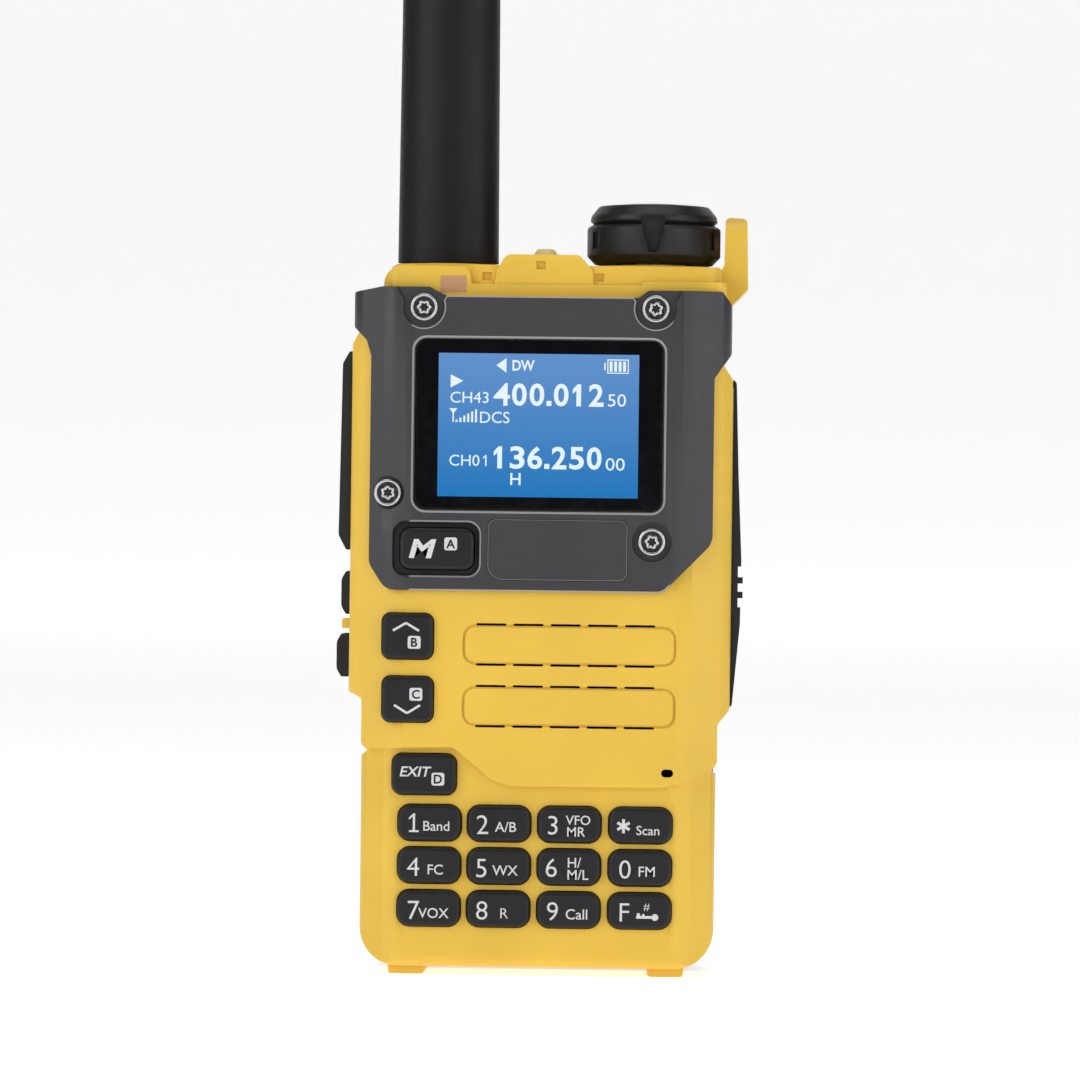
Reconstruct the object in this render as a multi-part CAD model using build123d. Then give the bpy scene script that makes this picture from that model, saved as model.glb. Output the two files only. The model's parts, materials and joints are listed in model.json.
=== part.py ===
"""Handheld two way radio: a yellow moulded case over a black chassis, with a
rubber antenna, a volume knob, a keypad, a colour display, side keys, a jack
cover and a battery with a belt clip on the back.

Units are millimetres. X runs across the front of the radio, Z runs up, and the
radio faces -Y. While a piece is being modelled, Y is its depth behind the
frontmost plane; save() then moves it forward by half the depth, so the origin
ends up at the centre of the radio's footprint.
"""

import os
from math import cos, radians, sin

from build123d import *

# Overall size
WIDTH = 61.2
DEPTH = 46.0
HALF_DEPTH = DEPTH / 2

# Depths of the layers, measured back from the frontmost plane
BEZEL_FACE = 0.5
BEZEL_BEVEL = 0.25
UPPER_FACE = 1.7
REBATE_FACE = 2.7
LOWER_FACE = 3.0
UPPER_CAVITY = 3.9
LOWER_CAVITY = 5.0
MAT_FRONT = 6.6
BOARD_FRONT = 7.6
BOARD_BACK = 8.8
CASE_BACK = 20.0
CHASSIS_BACK = 22.9
BLOCK_BACK = 35.0
BATTERY_BACK = 38.0

# Heights
CASE_BOTTOM = 1.2
CASE_TOP = 101.5
LEDGE_TOP = 103.4
POD_TOP = 106.0
DECK_TOP = 106.3
BOSS_TOP = 106.75
HUMP_TOP = 107.9
KNOB_BOTTOM = 107.05
KNOB_SPLIT = 113.1
KNOB_TOP = 116.3
HORN_TOP = 114.3
LEVER_PIN_HEIGHT = 96.2

# Half widths
FLAT_HALF = 21.5
UPPER_HALF = 28.6
LOWER_HALF = 26.6
REBATE_HALF = 27.3
BEZEL_HALF = 28.3
CHASSIS_HALF = 27.8
BATTERY_HALF = 26.2

# Display window
WINDOW_X = -0.35
WINDOW_HALF = 18.5
WINDOW_BOTTOM = 69.6
WINDOW_TOP = 95.0
WINDOW_RADIUS = 1.7
LCD_WIDTH = 33.6
LCD_HEIGHT = 23.0
LCD_HEIGHT_CENTRE = 82.3

# Antenna and knob
ANTENNA_X = -14.9
KNOB_X = 16.25
KNOB_RADIUS = 10.1
SHAFT_DEPTH = 19.0
ANTENNA_BOTTOM = 107.0
ANTENNA_TOP = 261.6
THREAD_RADIUS = 3.17
SHAFT_RADIUS = 3.0

# Keys: name, centre X, centre Z, width, height, corner radius, front, surface
KEY_TRAVEL = 0.6
KEY_GAP = 0.15
NUMBER_WIDTH = 9.45
NUMBER_HEIGHT = 5.4
NUMBER_COLUMNS = (-16.0, -5.6, 4.9, 15.5)
NUMBER_ROWS = (22.75, 16.4, 10.0)
NUMBER_NAMES = (
    ("key_1", "key_2", "key_3", "key_star"),
    ("key_4", "key_5", "key_6", "key_0"),
    ("key_7", "key_8", "key_9", "key_function"),
)
UPPER_KEYS = {
    "key_menu": dict(x=-15.3, z=63.7, width=11.1, height=6.2, radius=1.6, front=0.0),
    "key_up": dict(x=-19.6, z=50.6, width=7.7, height=6.8, radius=1.3, front=0.7),
    "key_down": dict(x=-19.5, z=41.2, width=7.7, height=6.8, radius=1.3, front=0.7),
    "key_exit": dict(x=-16.9, z=30.0, width=9.6, height=6.1, radius=1.5, front=1.8),
}

# Side controls: lowest and highest Z, outermost X
PTT_Z = (63.4, 93.2)
SIDE_KEY_UPPER_Z = (53.7, 60.2)
SIDE_KEY_LOWER_Z = (44.3, 50.8)
SIDE_RIB_Z = (51.6, 53.0)
PTT_DEPTHS = (7.6, 18.0)
SIDE_KEY_DEPTHS = (9.0, 16.0)
SIDE_GAP = 0.2

# Status light's window: X, depth and Z ranges
STATUS_WINDOW = ((-15.4, -11.5), (3.15, 5.0), (102.1, 104.6))

# Jacks and their cover
COVER_Z = (40.5, 89.9)
COVER_DEPTHS = (7.0, 19.0)
COVER_FLOOR = 27.4
COVER_PIN = (28.3, 88.8)
COVER_PIN_RADIUS = 0.45
JACK_DEPTH = 13.0
SPEAKER_JACK_Z = 67.5
MIC_JACK_Z = 56.0
SPEAKER_JACK_RADIUS = 1.8
MIC_JACK_RADIUS = 1.3
USB_Z = 80.0
USB_DEPTH = 11.2

# Speaker grille
BAR_X = 4.6
BAR_HEIGHTS = (49.5, 40.3)
BAR_WIDTH = 31.9
BAR_HEIGHT = 6.0
SLIT_X = 4.0
SLIT_LENGTH = 4.5
SLIT_HEIGHT = 0.36
SLIT_PITCH = 5.55
SLIT_COUNT = 5
SPEAKER_X = 5.5
SPEAKER_Z = 45.0
SPEAKER_RADIUS = 13.0
MIC_X = 19.4
MIC_Z = 30.6

# Screws on the front: centre X, centre Z
BEZEL_SCREWS = ((-17.7, 99.75), (16.9, 99.85), (-22.8, 72.0), (16.7, 65.1))
SCREW_HEAD_RADIUS = 2.05
SCREW_RADIUS = 0.9

# Blank name plate under the display
PLATE_X = 2.65
PLATE_Z = 63.7
PLATE_HALF = 10.4
PLATE_HALF_HEIGHT = 4.5

# Belt clip
CLIP_PIN_DEPTH = 39.6
CLIP_HALF = 9.0

# Battery
BATTERY_BOTTOM = 1.0
BATTERY_TOP = 84.4


# ---------------------------------------------------------------- helpers

def outline(*corners):
    """A closed face from (u, v) or (u, v, fillet radius) corners."""
    face = Polygon(*[corner[:2] for corner in corners], align=None)
    for corner in corners:
        if len(corner) == 3:
            vertex = face.vertices().sort_by_distance((corner[0], corner[1], 0))[0]
            face = fillet(vertex, corner[2])
    return face


def slab(face, front, back):
    """A face drawn in X and Z, as a solid between two depths."""
    return extrude(Plane.XZ.offset(-front) * face, amount=back - front, dir=(0, 1, 0))


def column(face, bottom, top):
    """A face drawn in X and depth, as a solid between two heights."""
    return extrude(Plane.XY.offset(bottom) * face, amount=top - bottom, dir=(0, 0, 1))


def crosswise(face, left, right):
    """A face drawn in depth and Z, as a solid between two X values."""
    return extrude(Plane.YZ.offset(left) * face, amount=right - left, dir=(1, 0, 0))


def block(x, y, z):
    """A box from three (low, high) ranges."""
    size = [high - low for low, high in (x, y, z)]
    centre = [(low + high) / 2 for low, high in (x, y, z)]
    return Pos(*centre) * Box(*size)


def sunk(face, front, depth):
    """Cutter with 45 degree walls, from a face at its front down to a depth."""
    return extrude(Plane.XZ.offset(-front) * face, amount=depth, taper=45, dir=(0, 1, 0))


def pin_y(x, z, radius, front, back):
    """A cylinder that runs from front to back."""
    return Pos(x, (front + back) / 2, z) * Rot(90, 0, 0) * Cylinder(radius, back - front)


def pin_x(y, z, radius, left, right):
    """A cylinder that runs across the radio."""
    return Pos((left + right) / 2, y, z) * Rot(0, 90, 0) * Cylinder(radius, right - left)


def pin_z(x, y, radius, bottom, top):
    """An upright cylinder."""
    return Pos(x, y, (bottom + top) / 2) * Cylinder(radius, top - bottom)


def rounded(x, z, width, height, radius):
    """A rounded rectangle drawn in X and Z."""
    return Pos(x, z) * RectangleRounded(width, height, radius)


def front_edges(solid):
    """The edges that lie wholly in the frontmost plane of a solid."""
    return solid.edges().group_by(Axis.Y)[0]


def turned(points, x, y):
    """A solid of revolution about an upright axis, from (radius, height) corners."""
    return Pos(x, y, 0) * revolve(Plane.XZ * outline(*points), Axis.Z)


def save(shape, name):
    """Write one piece, moved so that the origin is under the radio's middle."""
    placed = Pos(0, -HALF_DEPTH, 0) * shape
    export_step(placed, f"parts/{name}.step")


# ---------------------------------------------------------------- case

def front_profile(half, face, shoulder, back, bend=6.0, corner=2.5):
    """Section through a front wall: a flat face, two sloping flanks, two sides."""
    return outline(
        (-half, back),
        (-half, shoulder, corner),
        (-FLAT_HALF, face, bend),
        (FLAT_HALF, face, bend),
        (half, shoulder, corner),
        (half, back),
    )


def upper_outline():
    """Front outline of the raised upper part of the case."""
    return outline(
        (-30.0, 42.9),
        (-26.5, 41.2, 0.6),
        (-26.5, 34.6),
        (-25.6, 33.7),
        (-12.6, 34.0, 1.5),
        (-6.9, 29.2, 1.5),
        (-4.3, 28.3, 2.0),
        (18.3, 28.3, 2.0),
        (22.6, 29.3, 2.0),
        (25.8, 31.0, 0.6),
        (26.8, 32.2),
        (26.8, 37.9, 0.6),
        (30.0, 41.9),
        (30.0, 87.2),
        (27.2, 91.5, 0.8),
        (27.2, CASE_TOP),
        (-27.3, CASE_TOP),
        (-27.3, 96.3, 0.8),
        (-30.0, 92.0),
    )


def bezel_outline():
    """Front outline of the grey bezel, with its two shoulders and screw tabs."""
    return outline(
        (-28.3, 102.0, 0.5),
        (-28.3, 96.8, 0.6),
        (-26.3, 94.8, 1.2),
        (-25.6, 92.4, 1.2),
        (-25.6, 61.4, 2.5),
        (-23.0, 57.5, 2.5),
        (18.4, 57.5, 2.0),
        (25.75, 65.0, 3.0),
        (25.75, 89.6, 1.2),
        (28.3, 93.4, 1.0),
        (28.3, 100.6, 0.8),
        (26.8, 102.6, 0.5),
        (15.8, 102.6, 0.4),
        (14.3, CASE_TOP, 0.4),
        (-14.4, CASE_TOP, 0.4),
        (-16.9, 102.8, 0.4),
        (-24.0, 102.8, 0.8),
    )


def rebate_core():
    """Solid whose front surface is the seat that the bezel lies on."""
    return column(front_profile(REBATE_HALF, REBATE_FACE, 5.95, 40.0, corner=1.6), 40, 110)


def bezel_envelope():
    """Solid with the bezel's outer surface and bevelled rim, open at the rear."""
    profile = front_profile(BEZEL_HALF, BEZEL_FACE, 4.0, 10.0, bend=10.0)
    rim = extrude(
        Plane.XZ.offset(-BEZEL_FACE) * offset(bezel_outline(), -BEZEL_BEVEL),
        amount=BEZEL_BEVEL,
        taper=-45,
        dir=(0, 1, 0),
    )
    prism = rim + slab(bezel_outline(), BEZEL_FACE + BEZEL_BEVEL, 12)
    return column(profile, 50, 110) & prism


def case_body():
    """The case's outer form: raised upper part, lower part and notched sides."""
    upper = column(front_profile(UPPER_HALF, UPPER_FACE, 5.2, CASE_BACK), 20, CASE_TOP)
    upper_prism = slab(upper_outline(), UPPER_FACE, CASE_BACK)
    upper_prism = fillet(front_edges(upper_prism), 0.5)
    lower = column(front_profile(LOWER_HALF, LOWER_FACE, 6.5, CASE_BACK), 0, 60)
    lower_outline = outline(
        (-LOWER_HALF, CASE_BOTTOM, 6.0),
        (LOWER_HALF, CASE_BOTTOM, 6.0),
        (LOWER_HALF, 55.0),
        (-LOWER_HALF, 55.0),
    )
    lower_prism = slab(lower_outline, LOWER_FACE, CASE_BACK)
    lower_prism = fillet(front_edges(lower_prism).group_by(Axis.Z)[0], 1.8)
    body = (upper & upper_prism) + (lower & lower_prism)
    left_notch = outline((-28.0, 35.4), (-25.6, 33.4), (-28.0, 31.4))
    right_notch = outline((28.0, 33.0), (25.8, 30.8), (28.0, 28.6))
    return body - slab(left_notch, 0, CASE_BACK) - slab(right_notch, 0, CASE_BACK)


def case_cavity():
    """The hollow inside the case, open at the back."""
    upper = front_cavity(UPPER_HALF - 2.2, UPPER_CAVITY, 7.4, 26.4, 101.0)
    upper = upper & slab(offset(upper_outline(), -2.2) + top_room(), 0, 40)
    lower = front_cavity(LOWER_HALF - 2.0, LOWER_CAVITY, 8.6, CASE_BOTTOM + 2.0, 60.0)
    return upper + lower


def top_room():
    """Outline of the room between the shoulders, right up to the deck."""
    return Pos(0, 90.5) * Rectangle(49.0, 21.0)


def front_cavity(half, face, shoulder, bottom, top):
    """Hollow behind a front wall, parallel to its flat face and flanks."""
    profile = outline(
        (-half, 40.0),
        (-half, shoulder, 0.8),
        (0.8 - FLAT_HALF, face, 4.0),
        (FLAT_HALF - 0.8, face, 4.0),
        (half, shoulder, 0.8),
        (half, 40.0),
    )
    return column(profile, bottom, top)


def tier(front, plan):
    """One raised step of the deck, from its front outline and its plan outline."""
    return slab(outline(*front), 0, 40) & column(outline(*plan), 100, 110)


def deck_tiers():
    """The deck's steps: ledge, status pod, right step, deck proper and torch hump."""
    ledge = tier(
        ((-24.0, CASE_TOP), (-23.8, LEDGE_TOP, 0.5), (27.4, LEDGE_TOP, 0.4), (27.4, CASE_TOP)),
        ((-24.0, 3.2, 2.0), (27.4, 3.2, 1.5), (27.4, 34.0, 5.0), (-24.0, 34.0, 5.0)),
    )
    status_pod = tier(
        ((-24.0, CASE_TOP), (-23.8, POD_TOP, 2.9), (-11.2, POD_TOP, 1.2), (-10.4, CASE_TOP)),
        ((-24.0, 3.2, 2.0), (-10.0, 3.2, 0.8), (-10.0, 8.0), (-24.0, 34.0, 5.0)),
    )
    right_step = tier(
        ((14.2, CASE_TOP), (14.9, 104.0, 0.4), (27.4, 104.0, 0.4), (27.4, CASE_TOP)),
        ((14.2, 3.2, 0.4), (27.4, 3.2, 1.5), (27.4, 12.0), (14.2, 12.0)),
    )
    upper_deck = tier(
        ((-23.4, CASE_TOP), (-22.4, DECK_TOP, 1.6), (26.6, DECK_TOP, 0.6), (26.6, CASE_TOP)),
        ((-23.4, 4.5, 4.0), (26.6, 4.5, 2.0), (26.6, 32.5, 5.0), (-23.4, 32.5, 5.0)),
    )
    hump = tier(
        ((-7.6, CASE_TOP), (-7.0, 105.6, 0.8), (-5.6, HUMP_TOP, 1.4), (5.4, HUMP_TOP, 1.4),
         (7.3, 105.6, 0.8), (7.6, CASE_TOP)),
        ((-8, 3.9, 1.0), (8, 3.9, 1.0), (8, 30.0, 1.0), (-8, 30.0, 1.0)),
    )
    return ledge + status_pod + right_step + upper_deck + hump


def deck():
    """The top of the case with its two round bosses and three small pockets."""
    antenna_boss = turned(
        (
            (0, CASE_TOP),
            (8.6, CASE_TOP),
            (8.6, DECK_TOP),
            (8.0, BOSS_TOP, 0.3),
            (0, BOSS_TOP),
        ),
        ANTENNA_X,
        SHAFT_DEPTH,
    )
    knob_boss = turned(
        ((0, CASE_TOP), (9.4, CASE_TOP), (9.4, BOSS_TOP, 0.3), (0, BOSS_TOP)),
        KNOB_X,
        SHAFT_DEPTH,
    )
    top = deck_tiers() + antenna_boss + knob_boss
    for x, y, z in ((-8.5, 4.5, 104.6), (8.3, 4.5, 104.6), (-0.4, 3.9, 106.3)):
        top -= block((x - 0.7, x + 0.7), (y - 1, y + 0.6), (z - 0.6, z + 0.6))
    return top


def lanyard_hook():
    """Upright horn at the right of the deck, with the lanyard eye through it."""
    front = outline(
        (25.8, CASE_TOP + 0.5),
        (25.8, 105.4),
        (27.0, 106.8, 1.2),
        (27.1, HORN_TOP, 0.8),
        (30.4, HORN_TOP - 0.2, 0.9),
        (WIDTH / 2, 103.4, 0.5),
        (28.0, 100.7, 0.4),
        (27.1, 101.3),
    )
    side = outline((12, 99), (22, 99), (22, HORN_TOP, 4.0), (12, HORN_TOP, 4.0))
    return slab(front, 12, 22) & crosswise(side, 20, 32)


def lanyard_eye():
    """Cutter for the eye that a lanyard is threaded through."""
    return pin_x(17.0, 109.6, 2.0, 26.0, 32.0)


def speaker_slits():
    """Cutter for the sound slits along both edges of both grille bars."""
    slits = []
    for height in BAR_HEIGHTS:
        for edge in (height - BAR_HEIGHT / 2, height + BAR_HEIGHT / 2):
            for index in range(SLIT_COUNT):
                x = SLIT_X + (index - (SLIT_COUNT - 1) / 2) * SLIT_PITCH
                face = rounded(x, edge, SLIT_LENGTH, SLIT_HEIGHT, SLIT_HEIGHT * 0.48)
                slits.append(slab(face, 0, 6))
    return slits


def speaker_bar_grooves():
    """Cutter for the fine groove round each grille bar."""
    grooves = []
    for height in BAR_HEIGHTS:
        outer = rounded(BAR_X, height, BAR_WIDTH, BAR_HEIGHT, 1.9)
        inner = rounded(BAR_X, height, BAR_WIDTH - 0.8, BAR_HEIGHT - 0.8, 1.5)
        grooves.append(slab(outer - inner, 0, UPPER_FACE + 0.35))
    return grooves


def all_keys():
    """Every key's name and sizes, the number block included."""
    keys = dict(UPPER_KEYS)
    for z, names in zip(NUMBER_ROWS, NUMBER_NAMES):
        for x, name in zip(NUMBER_COLUMNS, names):
            keys[name] = dict(
                x=x, z=z, width=NUMBER_WIDTH, height=NUMBER_HEIGHT, radius=1.9, front=1.9
            )
    return keys


def key_hole(key, clearance=KEY_GAP):
    """Cutter for the hole that a key stands in."""
    face = rounded(
        key["x"],
        key["z"],
        key["width"] + 2 * clearance,
        key["height"] + 2 * clearance,
        key["radius"] + clearance,
    )
    return slab(face, -1, MAT_FRONT)


def flange_room(key):
    """Cutter for the room that a key's flange needs behind a sloping wall."""
    wall_back = UPPER_CAVITY if key["front"] < 1.0 else LOWER_CAVITY
    face = rounded(
        key["x"], key["z"], key["width"] + 1.0, key["height"] + 1.0, key["radius"] + 0.5
    )
    return slab(face, wall_back, BOARD_FRONT)


def side_openings():
    """Cutters for the push-to-talk bar and the two side keys, on the left side."""
    cutters = []
    for (low, high), (front, back) in (
        (PTT_Z, PTT_DEPTHS),
        (SIDE_KEY_UPPER_Z, SIDE_KEY_DEPTHS),
        (SIDE_KEY_LOWER_Z, SIDE_KEY_DEPTHS),
    ):
        depths = (front - SIDE_GAP, back + SIDE_GAP)
        heights = (low - SIDE_GAP, high + SIDE_GAP)
        cutters.append(block((-32, -25.5), depths, heights))
    return cutters


def jack_openings():
    """Cutters for the cover's recess, its pin holes and the sockets, on the right side."""
    cover_x, cover_z = COVER_PIN
    front, back = COVER_DEPTHS
    cutters = [
        block((COVER_FLOOR, 32), (front - 0.2, back + 0.2), (COVER_Z[0] - 0.3, COVER_Z[1] + 0.3)),
        pin_y(cover_x, cover_z, COVER_PIN_RADIUS + 0.05, front - 0.9, back + 0.9),
        pin_x(JACK_DEPTH, SPEAKER_JACK_Z, 2.6, 25, 28),
        pin_x(JACK_DEPTH, MIC_JACK_Z, 2.1, 25, 28),
    ]
    usb_face = Pos(USB_DEPTH, USB_Z) * RectangleRounded(3.3, 9.0, 1.6)
    cutters.append(crosswise(usb_face, 25, 28))
    return cutters


def screw_bosses():
    """Bosses behind the front wall that take the bezel screws."""
    return [pin_y(x, z, 2.2, REBATE_FACE + 0.3, 7.2) for x, z in BEZEL_SCREWS]


def back_screw_places():
    """Centres of the four screws that hold the chassis to the case."""
    return ((-22.8, 96.0), (22.8, 96.0), (-20.0, 12.0), (20.0, 12.0))


def make_front_case():
    """The yellow case: front wall, sides, deck, hook, feet and all its openings."""
    case = case_body() + deck() - case_cavity()
    for boss in screw_bosses():
        case += boss
    case -= slab(bezel_outline(), -1, 12) - rebate_core()
    for x, z in back_screw_places():
        case += pin_y(x, z, 2.0, 9.5, CASE_BACK) - pin_y(x, z, 1.0, 13.0, CASE_BACK)
        case += wall_rib(x, z)
    case += lanyard_hook()
    case += block((-29.8, -27.5), (8.0, 17.0), SIDE_RIB_Z)
    for side in (-1, 1):
        inner, outer = sorted((side * 16.7, side * 22.1))
        foot = block((inner, outer), (5.5, 18.0), (0.0, CASE_BOTTOM + 1.0))
        case += fillet(foot.edges().filter_by(Axis.Y).group_by(Axis.Z)[0], 0.5)
    case -= lanyard_eye()
    case -= speaker_slits()
    case -= speaker_bar_grooves()
    case -= slab(rounded(MIC_X, MIC_Z, 1.8, 1.2, 0.59), 0, 6)
    case -= [key_hole(key) for key in all_keys().values()]
    case -= [flange_room(key) for key in all_keys().values()]
    case -= side_openings()
    case -= jack_openings()
    case -= slab(
        rounded(WINDOW_X, LCD_HEIGHT_CENTRE, LCD_WIDTH + 0.4, LCD_HEIGHT + 0.4, 0.4), 0, 6
    )
    case -= [pin_y(x, z, SCREW_RADIUS, 0, 6.4) for x, z in BEZEL_SCREWS]
    case -= pin_z(KNOB_X, SHAFT_DEPTH, 3.6, 100, 108)
    case -= pin_z(ANTENNA_X, SHAFT_DEPTH, 3.2, 100, 108)
    case -= pin_z(0, 14.0, 1.75, 100, 109)
    case -= block(*STATUS_WINDOW)
    return case


def wall_rib(x, z):
    """Rib that ties a screw boss to the nearest side wall."""
    wall = 26.6 if z > 50 else 24.8
    inner, outer = sorted((x, wall if x > 0 else -wall))
    rib = block((inner, outer), (14.0, CASE_BACK), (z - 0.8, z + 0.8))
    return rib - pin_y(x, z, 1.0, 13.0, CASE_BACK)


# ---------------------------------------------------------------- front trim

def make_front_bezel():
    """The grey bezel that frames the display, the menu key and the name plate."""
    bezel = bezel_envelope() - rebate_core()
    bezel -= slab(rounded_window(0.0), -1, 4) + sunk(rounded_window(0.55), BEZEL_FACE, 0.55)
    menu = UPPER_KEYS["key_menu"]
    well_x = menu["x"] - 0.2
    bezel -= slab(rounded(well_x, menu["z"], 13.0, 8.0, 1.8), -1, 1.6)
    bezel -= sunk(rounded(well_x, menu["z"], 13.6, 8.6, 2.1), BEZEL_FACE, 0.3)
    bezel -= key_hole(menu)
    bezel -= slab(name_plate_outline(0.1), -1, 0.95)
    for x, z in BEZEL_SCREWS:
        bezel -= screw_pocket(x, z)
        bezel -= pin_y(x, z, SCREW_RADIUS + 0.1, 0, 6)
    return bezel


def screw_pocket(x, z):
    """Cutter for the pocket a bezel screw sits in; the top pair open upwards."""
    upper = z > 90
    radius = 3.1 if upper else (2.5 if x < 0 else 3.0)
    pocket = pin_y(x, z, radius, -1, screw_seat(x))
    if not upper:
        return pocket
    spread = outline(
        (x - 2.9, z + 1.0), (x + 2.9, z + 1.0), (x + 4.4, z + 3.2), (x - 4.4, z + 3.2)
    )
    pocket += slab(spread, -1, screw_seat(x))
    pocket += sunk(Pos(x, z) * Circle(radius + BEZEL_BEVEL), BEZEL_FACE, BEZEL_BEVEL)
    return pocket + sunk(offset(spread, BEZEL_BEVEL), BEZEL_FACE, BEZEL_BEVEL)


def screw_seat(x):
    """Depth of the flat that a bezel screw's head sits on."""
    return 1.45 if abs(x) < FLAT_HALF else 1.95


def rounded_window(margin):
    """The display window's outline, grown by a margin."""
    height = WINDOW_TOP - WINDOW_BOTTOM
    return rounded(
        WINDOW_X,
        (WINDOW_TOP + WINDOW_BOTTOM) / 2,
        2 * (WINDOW_HALF + margin),
        height + 2 * margin,
        WINDOW_RADIUS + margin,
    )


def name_plate_outline(margin):
    """Outline of the blank name plate under the display, grown by a margin."""
    left, right = PLATE_X - PLATE_HALF - margin, PLATE_X + PLATE_HALF + margin
    bottom = PLATE_Z - PLATE_HALF_HEIGHT - margin
    top = PLATE_Z + PLATE_HALF_HEIGHT + margin
    return outline(
        (left, bottom, 2.2), (right, bottom, 1.2), (right, top, 1.2), (left, top, 1.2)
    )


def make_name_plate():
    """Thin blank plate that stands just proud of the bezel."""
    plate = slab(name_plate_outline(0), 0.45, 0.95)
    return fillet(front_edges(plate), 0.15)


def make_bezel_screws():
    """Four pan head screws with a six-lobed drive."""
    screws = []
    for x, z in BEZEL_SCREWS:
        seat = screw_seat(x)
        head = pin_y(x, z, SCREW_HEAD_RADIUS, seat - 0.8, seat)
        head = fillet(front_edges(head), 0.3)
        drive = pin_y(x, z, 0.75, seat - 1, seat - 0.25)
        for lobe in range(6):
            angle = radians(60 * lobe)
            drive += pin_y(x + 0.8 * cos(angle), z + 0.8 * sin(angle), 0.25, seat - 1, seat - 0.25)
        shank = pin_y(x, z, SCREW_RADIUS - 0.02, seat, 6.2)
        screws.append(head + shank - drive)
    return Compound(children=screws)


# ---------------------------------------------------------------- display

def make_display_lens():
    """Clear window over the display, let into the bezel."""
    lens = slab(rounded_window(-0.08), 0.95, REBATE_FACE)
    return fillet(front_edges(lens), 0.15)


def make_lcd_panel():
    """The colour display panel, seated in the case behind the lens."""
    panel = rounded(WINDOW_X, LCD_HEIGHT_CENTRE, LCD_WIDTH, LCD_HEIGHT, 0.2)
    return slab(panel, REBATE_FACE + 0.1, 4.6)


def make_lcd_holder():
    """Moulded tray that carries the display panel in front of the board."""
    low, high = LCD_HEIGHT_CENTRE - 12.8, LCD_HEIGHT_CENTRE + 12.6
    left, right = WINDOW_X - 18.6, WINDOW_X + 18.6
    tray = block((left, right), (4.6, BOARD_FRONT), (low, high))
    return tray - block((left + 1.4, right - 1.4), (5.8, 8.0), (low + 1.4, high - 1.4))


# ---------------------------------------------------------------- keypad

def make_key(key):
    """One key: a cap with a soft edge, on a flange that stays behind the wall."""
    upper = key["front"] < 1.0
    wall_back = (UPPER_CAVITY if upper else LOWER_CAVITY) + 0.05
    foot = MAT_FRONT - KEY_TRAVEL - 0.1
    cap = slab(
        rounded(key["x"], key["z"], key["width"], key["height"], key["radius"]), key["front"], foot
    )
    cap = fillet(front_edges(cap), 0.55)
    flange = slab(
        rounded(key["x"], key["z"], key["width"] + 0.7, key["height"] + 0.7, key["radius"] + 0.35),
        wall_back,
        wall_back + 0.8,
    )
    return cap + flange


def make_keypad_mat():
    """Rubber mat over the board, with a pocket over each switch."""
    mat = block((-21.6, 21.6), (MAT_FRONT, BOARD_FRONT), (6.4, 26.6))
    mat += block((-22.2, -9.5), (MAT_FRONT, BOARD_FRONT), (26.0, 67.6))
    mat -= [pin_y(key["x"], key["z"], 2.5, 7.15, 8) for key in all_keys().values()]
    return mat


def make_dome_switches():
    """A metal snap dome under each key."""
    domes = [pin_y(key["x"], key["z"], 2.1, 7.3, BOARD_FRONT) for key in all_keys().values()]
    return Compound(children=[fillet(front_edges(dome), 0.2) for dome in domes])


# ---------------------------------------------------------------- electronics

def make_main_board():
    """The circuit board that everything in the case is mounted on."""
    board = block((-22.4, 22.4), (BOARD_FRONT, BOARD_BACK), (5.5, 97.5))
    return board - [pin_y(x, z, 2.7, 7, 10) for x, z in back_screw_places()]


def make_rf_shields():
    """Three sheet metal cans over the radio circuits."""
    cans = []
    for x, z in (((-19, -3), (18, 40)), ((1, 13), (18, 44)), ((-19, 10), (52, 74))):
        can = block(x, (BOARD_BACK, BOARD_BACK + 3.0), z)
        inside_x, inside_z = (x[0] + 0.4, x[1] - 0.4), (z[0] + 0.4, z[1] - 0.4)
        cans.append(can - block(inside_x, (BOARD_BACK - 1, BOARD_BACK + 2.6), inside_z))
    return Compound(children=cans)


def make_speaker_frame():
    """Round speaker basket with its magnet cup."""
    profile = outline(
        (0, 6.4),
        (0, 7.3),
        (6.0, 7.3),
        (SPEAKER_RADIUS, 6.0),
        (SPEAKER_RADIUS, 4.1),
        (11.8, 4.1),
        (11.8, 5.6),
        (6.0, 6.4),
    )
    ring = revolve(Plane.XY * profile, Axis.Y)
    return Pos(SPEAKER_X, 0, SPEAKER_Z) * ring


def make_speaker_cone():
    """Thin speaker cone with a raised dust cap."""
    profile = outline((0, 4.9), (0, 5.2), (3.0, 5.5), (11.7, 4.6), (11.7, 4.3), (3.0, 5.2))
    return Pos(SPEAKER_X, 0, SPEAKER_Z) * revolve(Plane.XY * profile, Axis.Y)


def make_microphone():
    """Small round microphone capsule behind its hole."""
    return pin_y(MIC_X, MIC_Z, 1.8, 5.6, BOARD_FRONT)


# ---------------------------------------------------------------- top controls

def make_volume_pot():
    """Volume potentiometer under the deck, with a threaded bush through it."""
    body = block((KNOB_X - 4.1, KNOB_X + 4.1), (13.5, 24.5), (90.0, 101.0))
    bush = pin_z(KNOB_X, SHAFT_DEPTH, 3.5, 100.5, 109.0)
    return body + bush - pin_z(KNOB_X, SHAFT_DEPTH, SHAFT_RADIUS + 0.05, 92, 110)


def make_pot_shaft():
    """Shaft of the potentiometer, which the knob is pressed on."""
    return pin_z(KNOB_X, SHAFT_DEPTH, SHAFT_RADIUS, 92.5, KNOB_SPLIT - 0.3)


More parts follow.
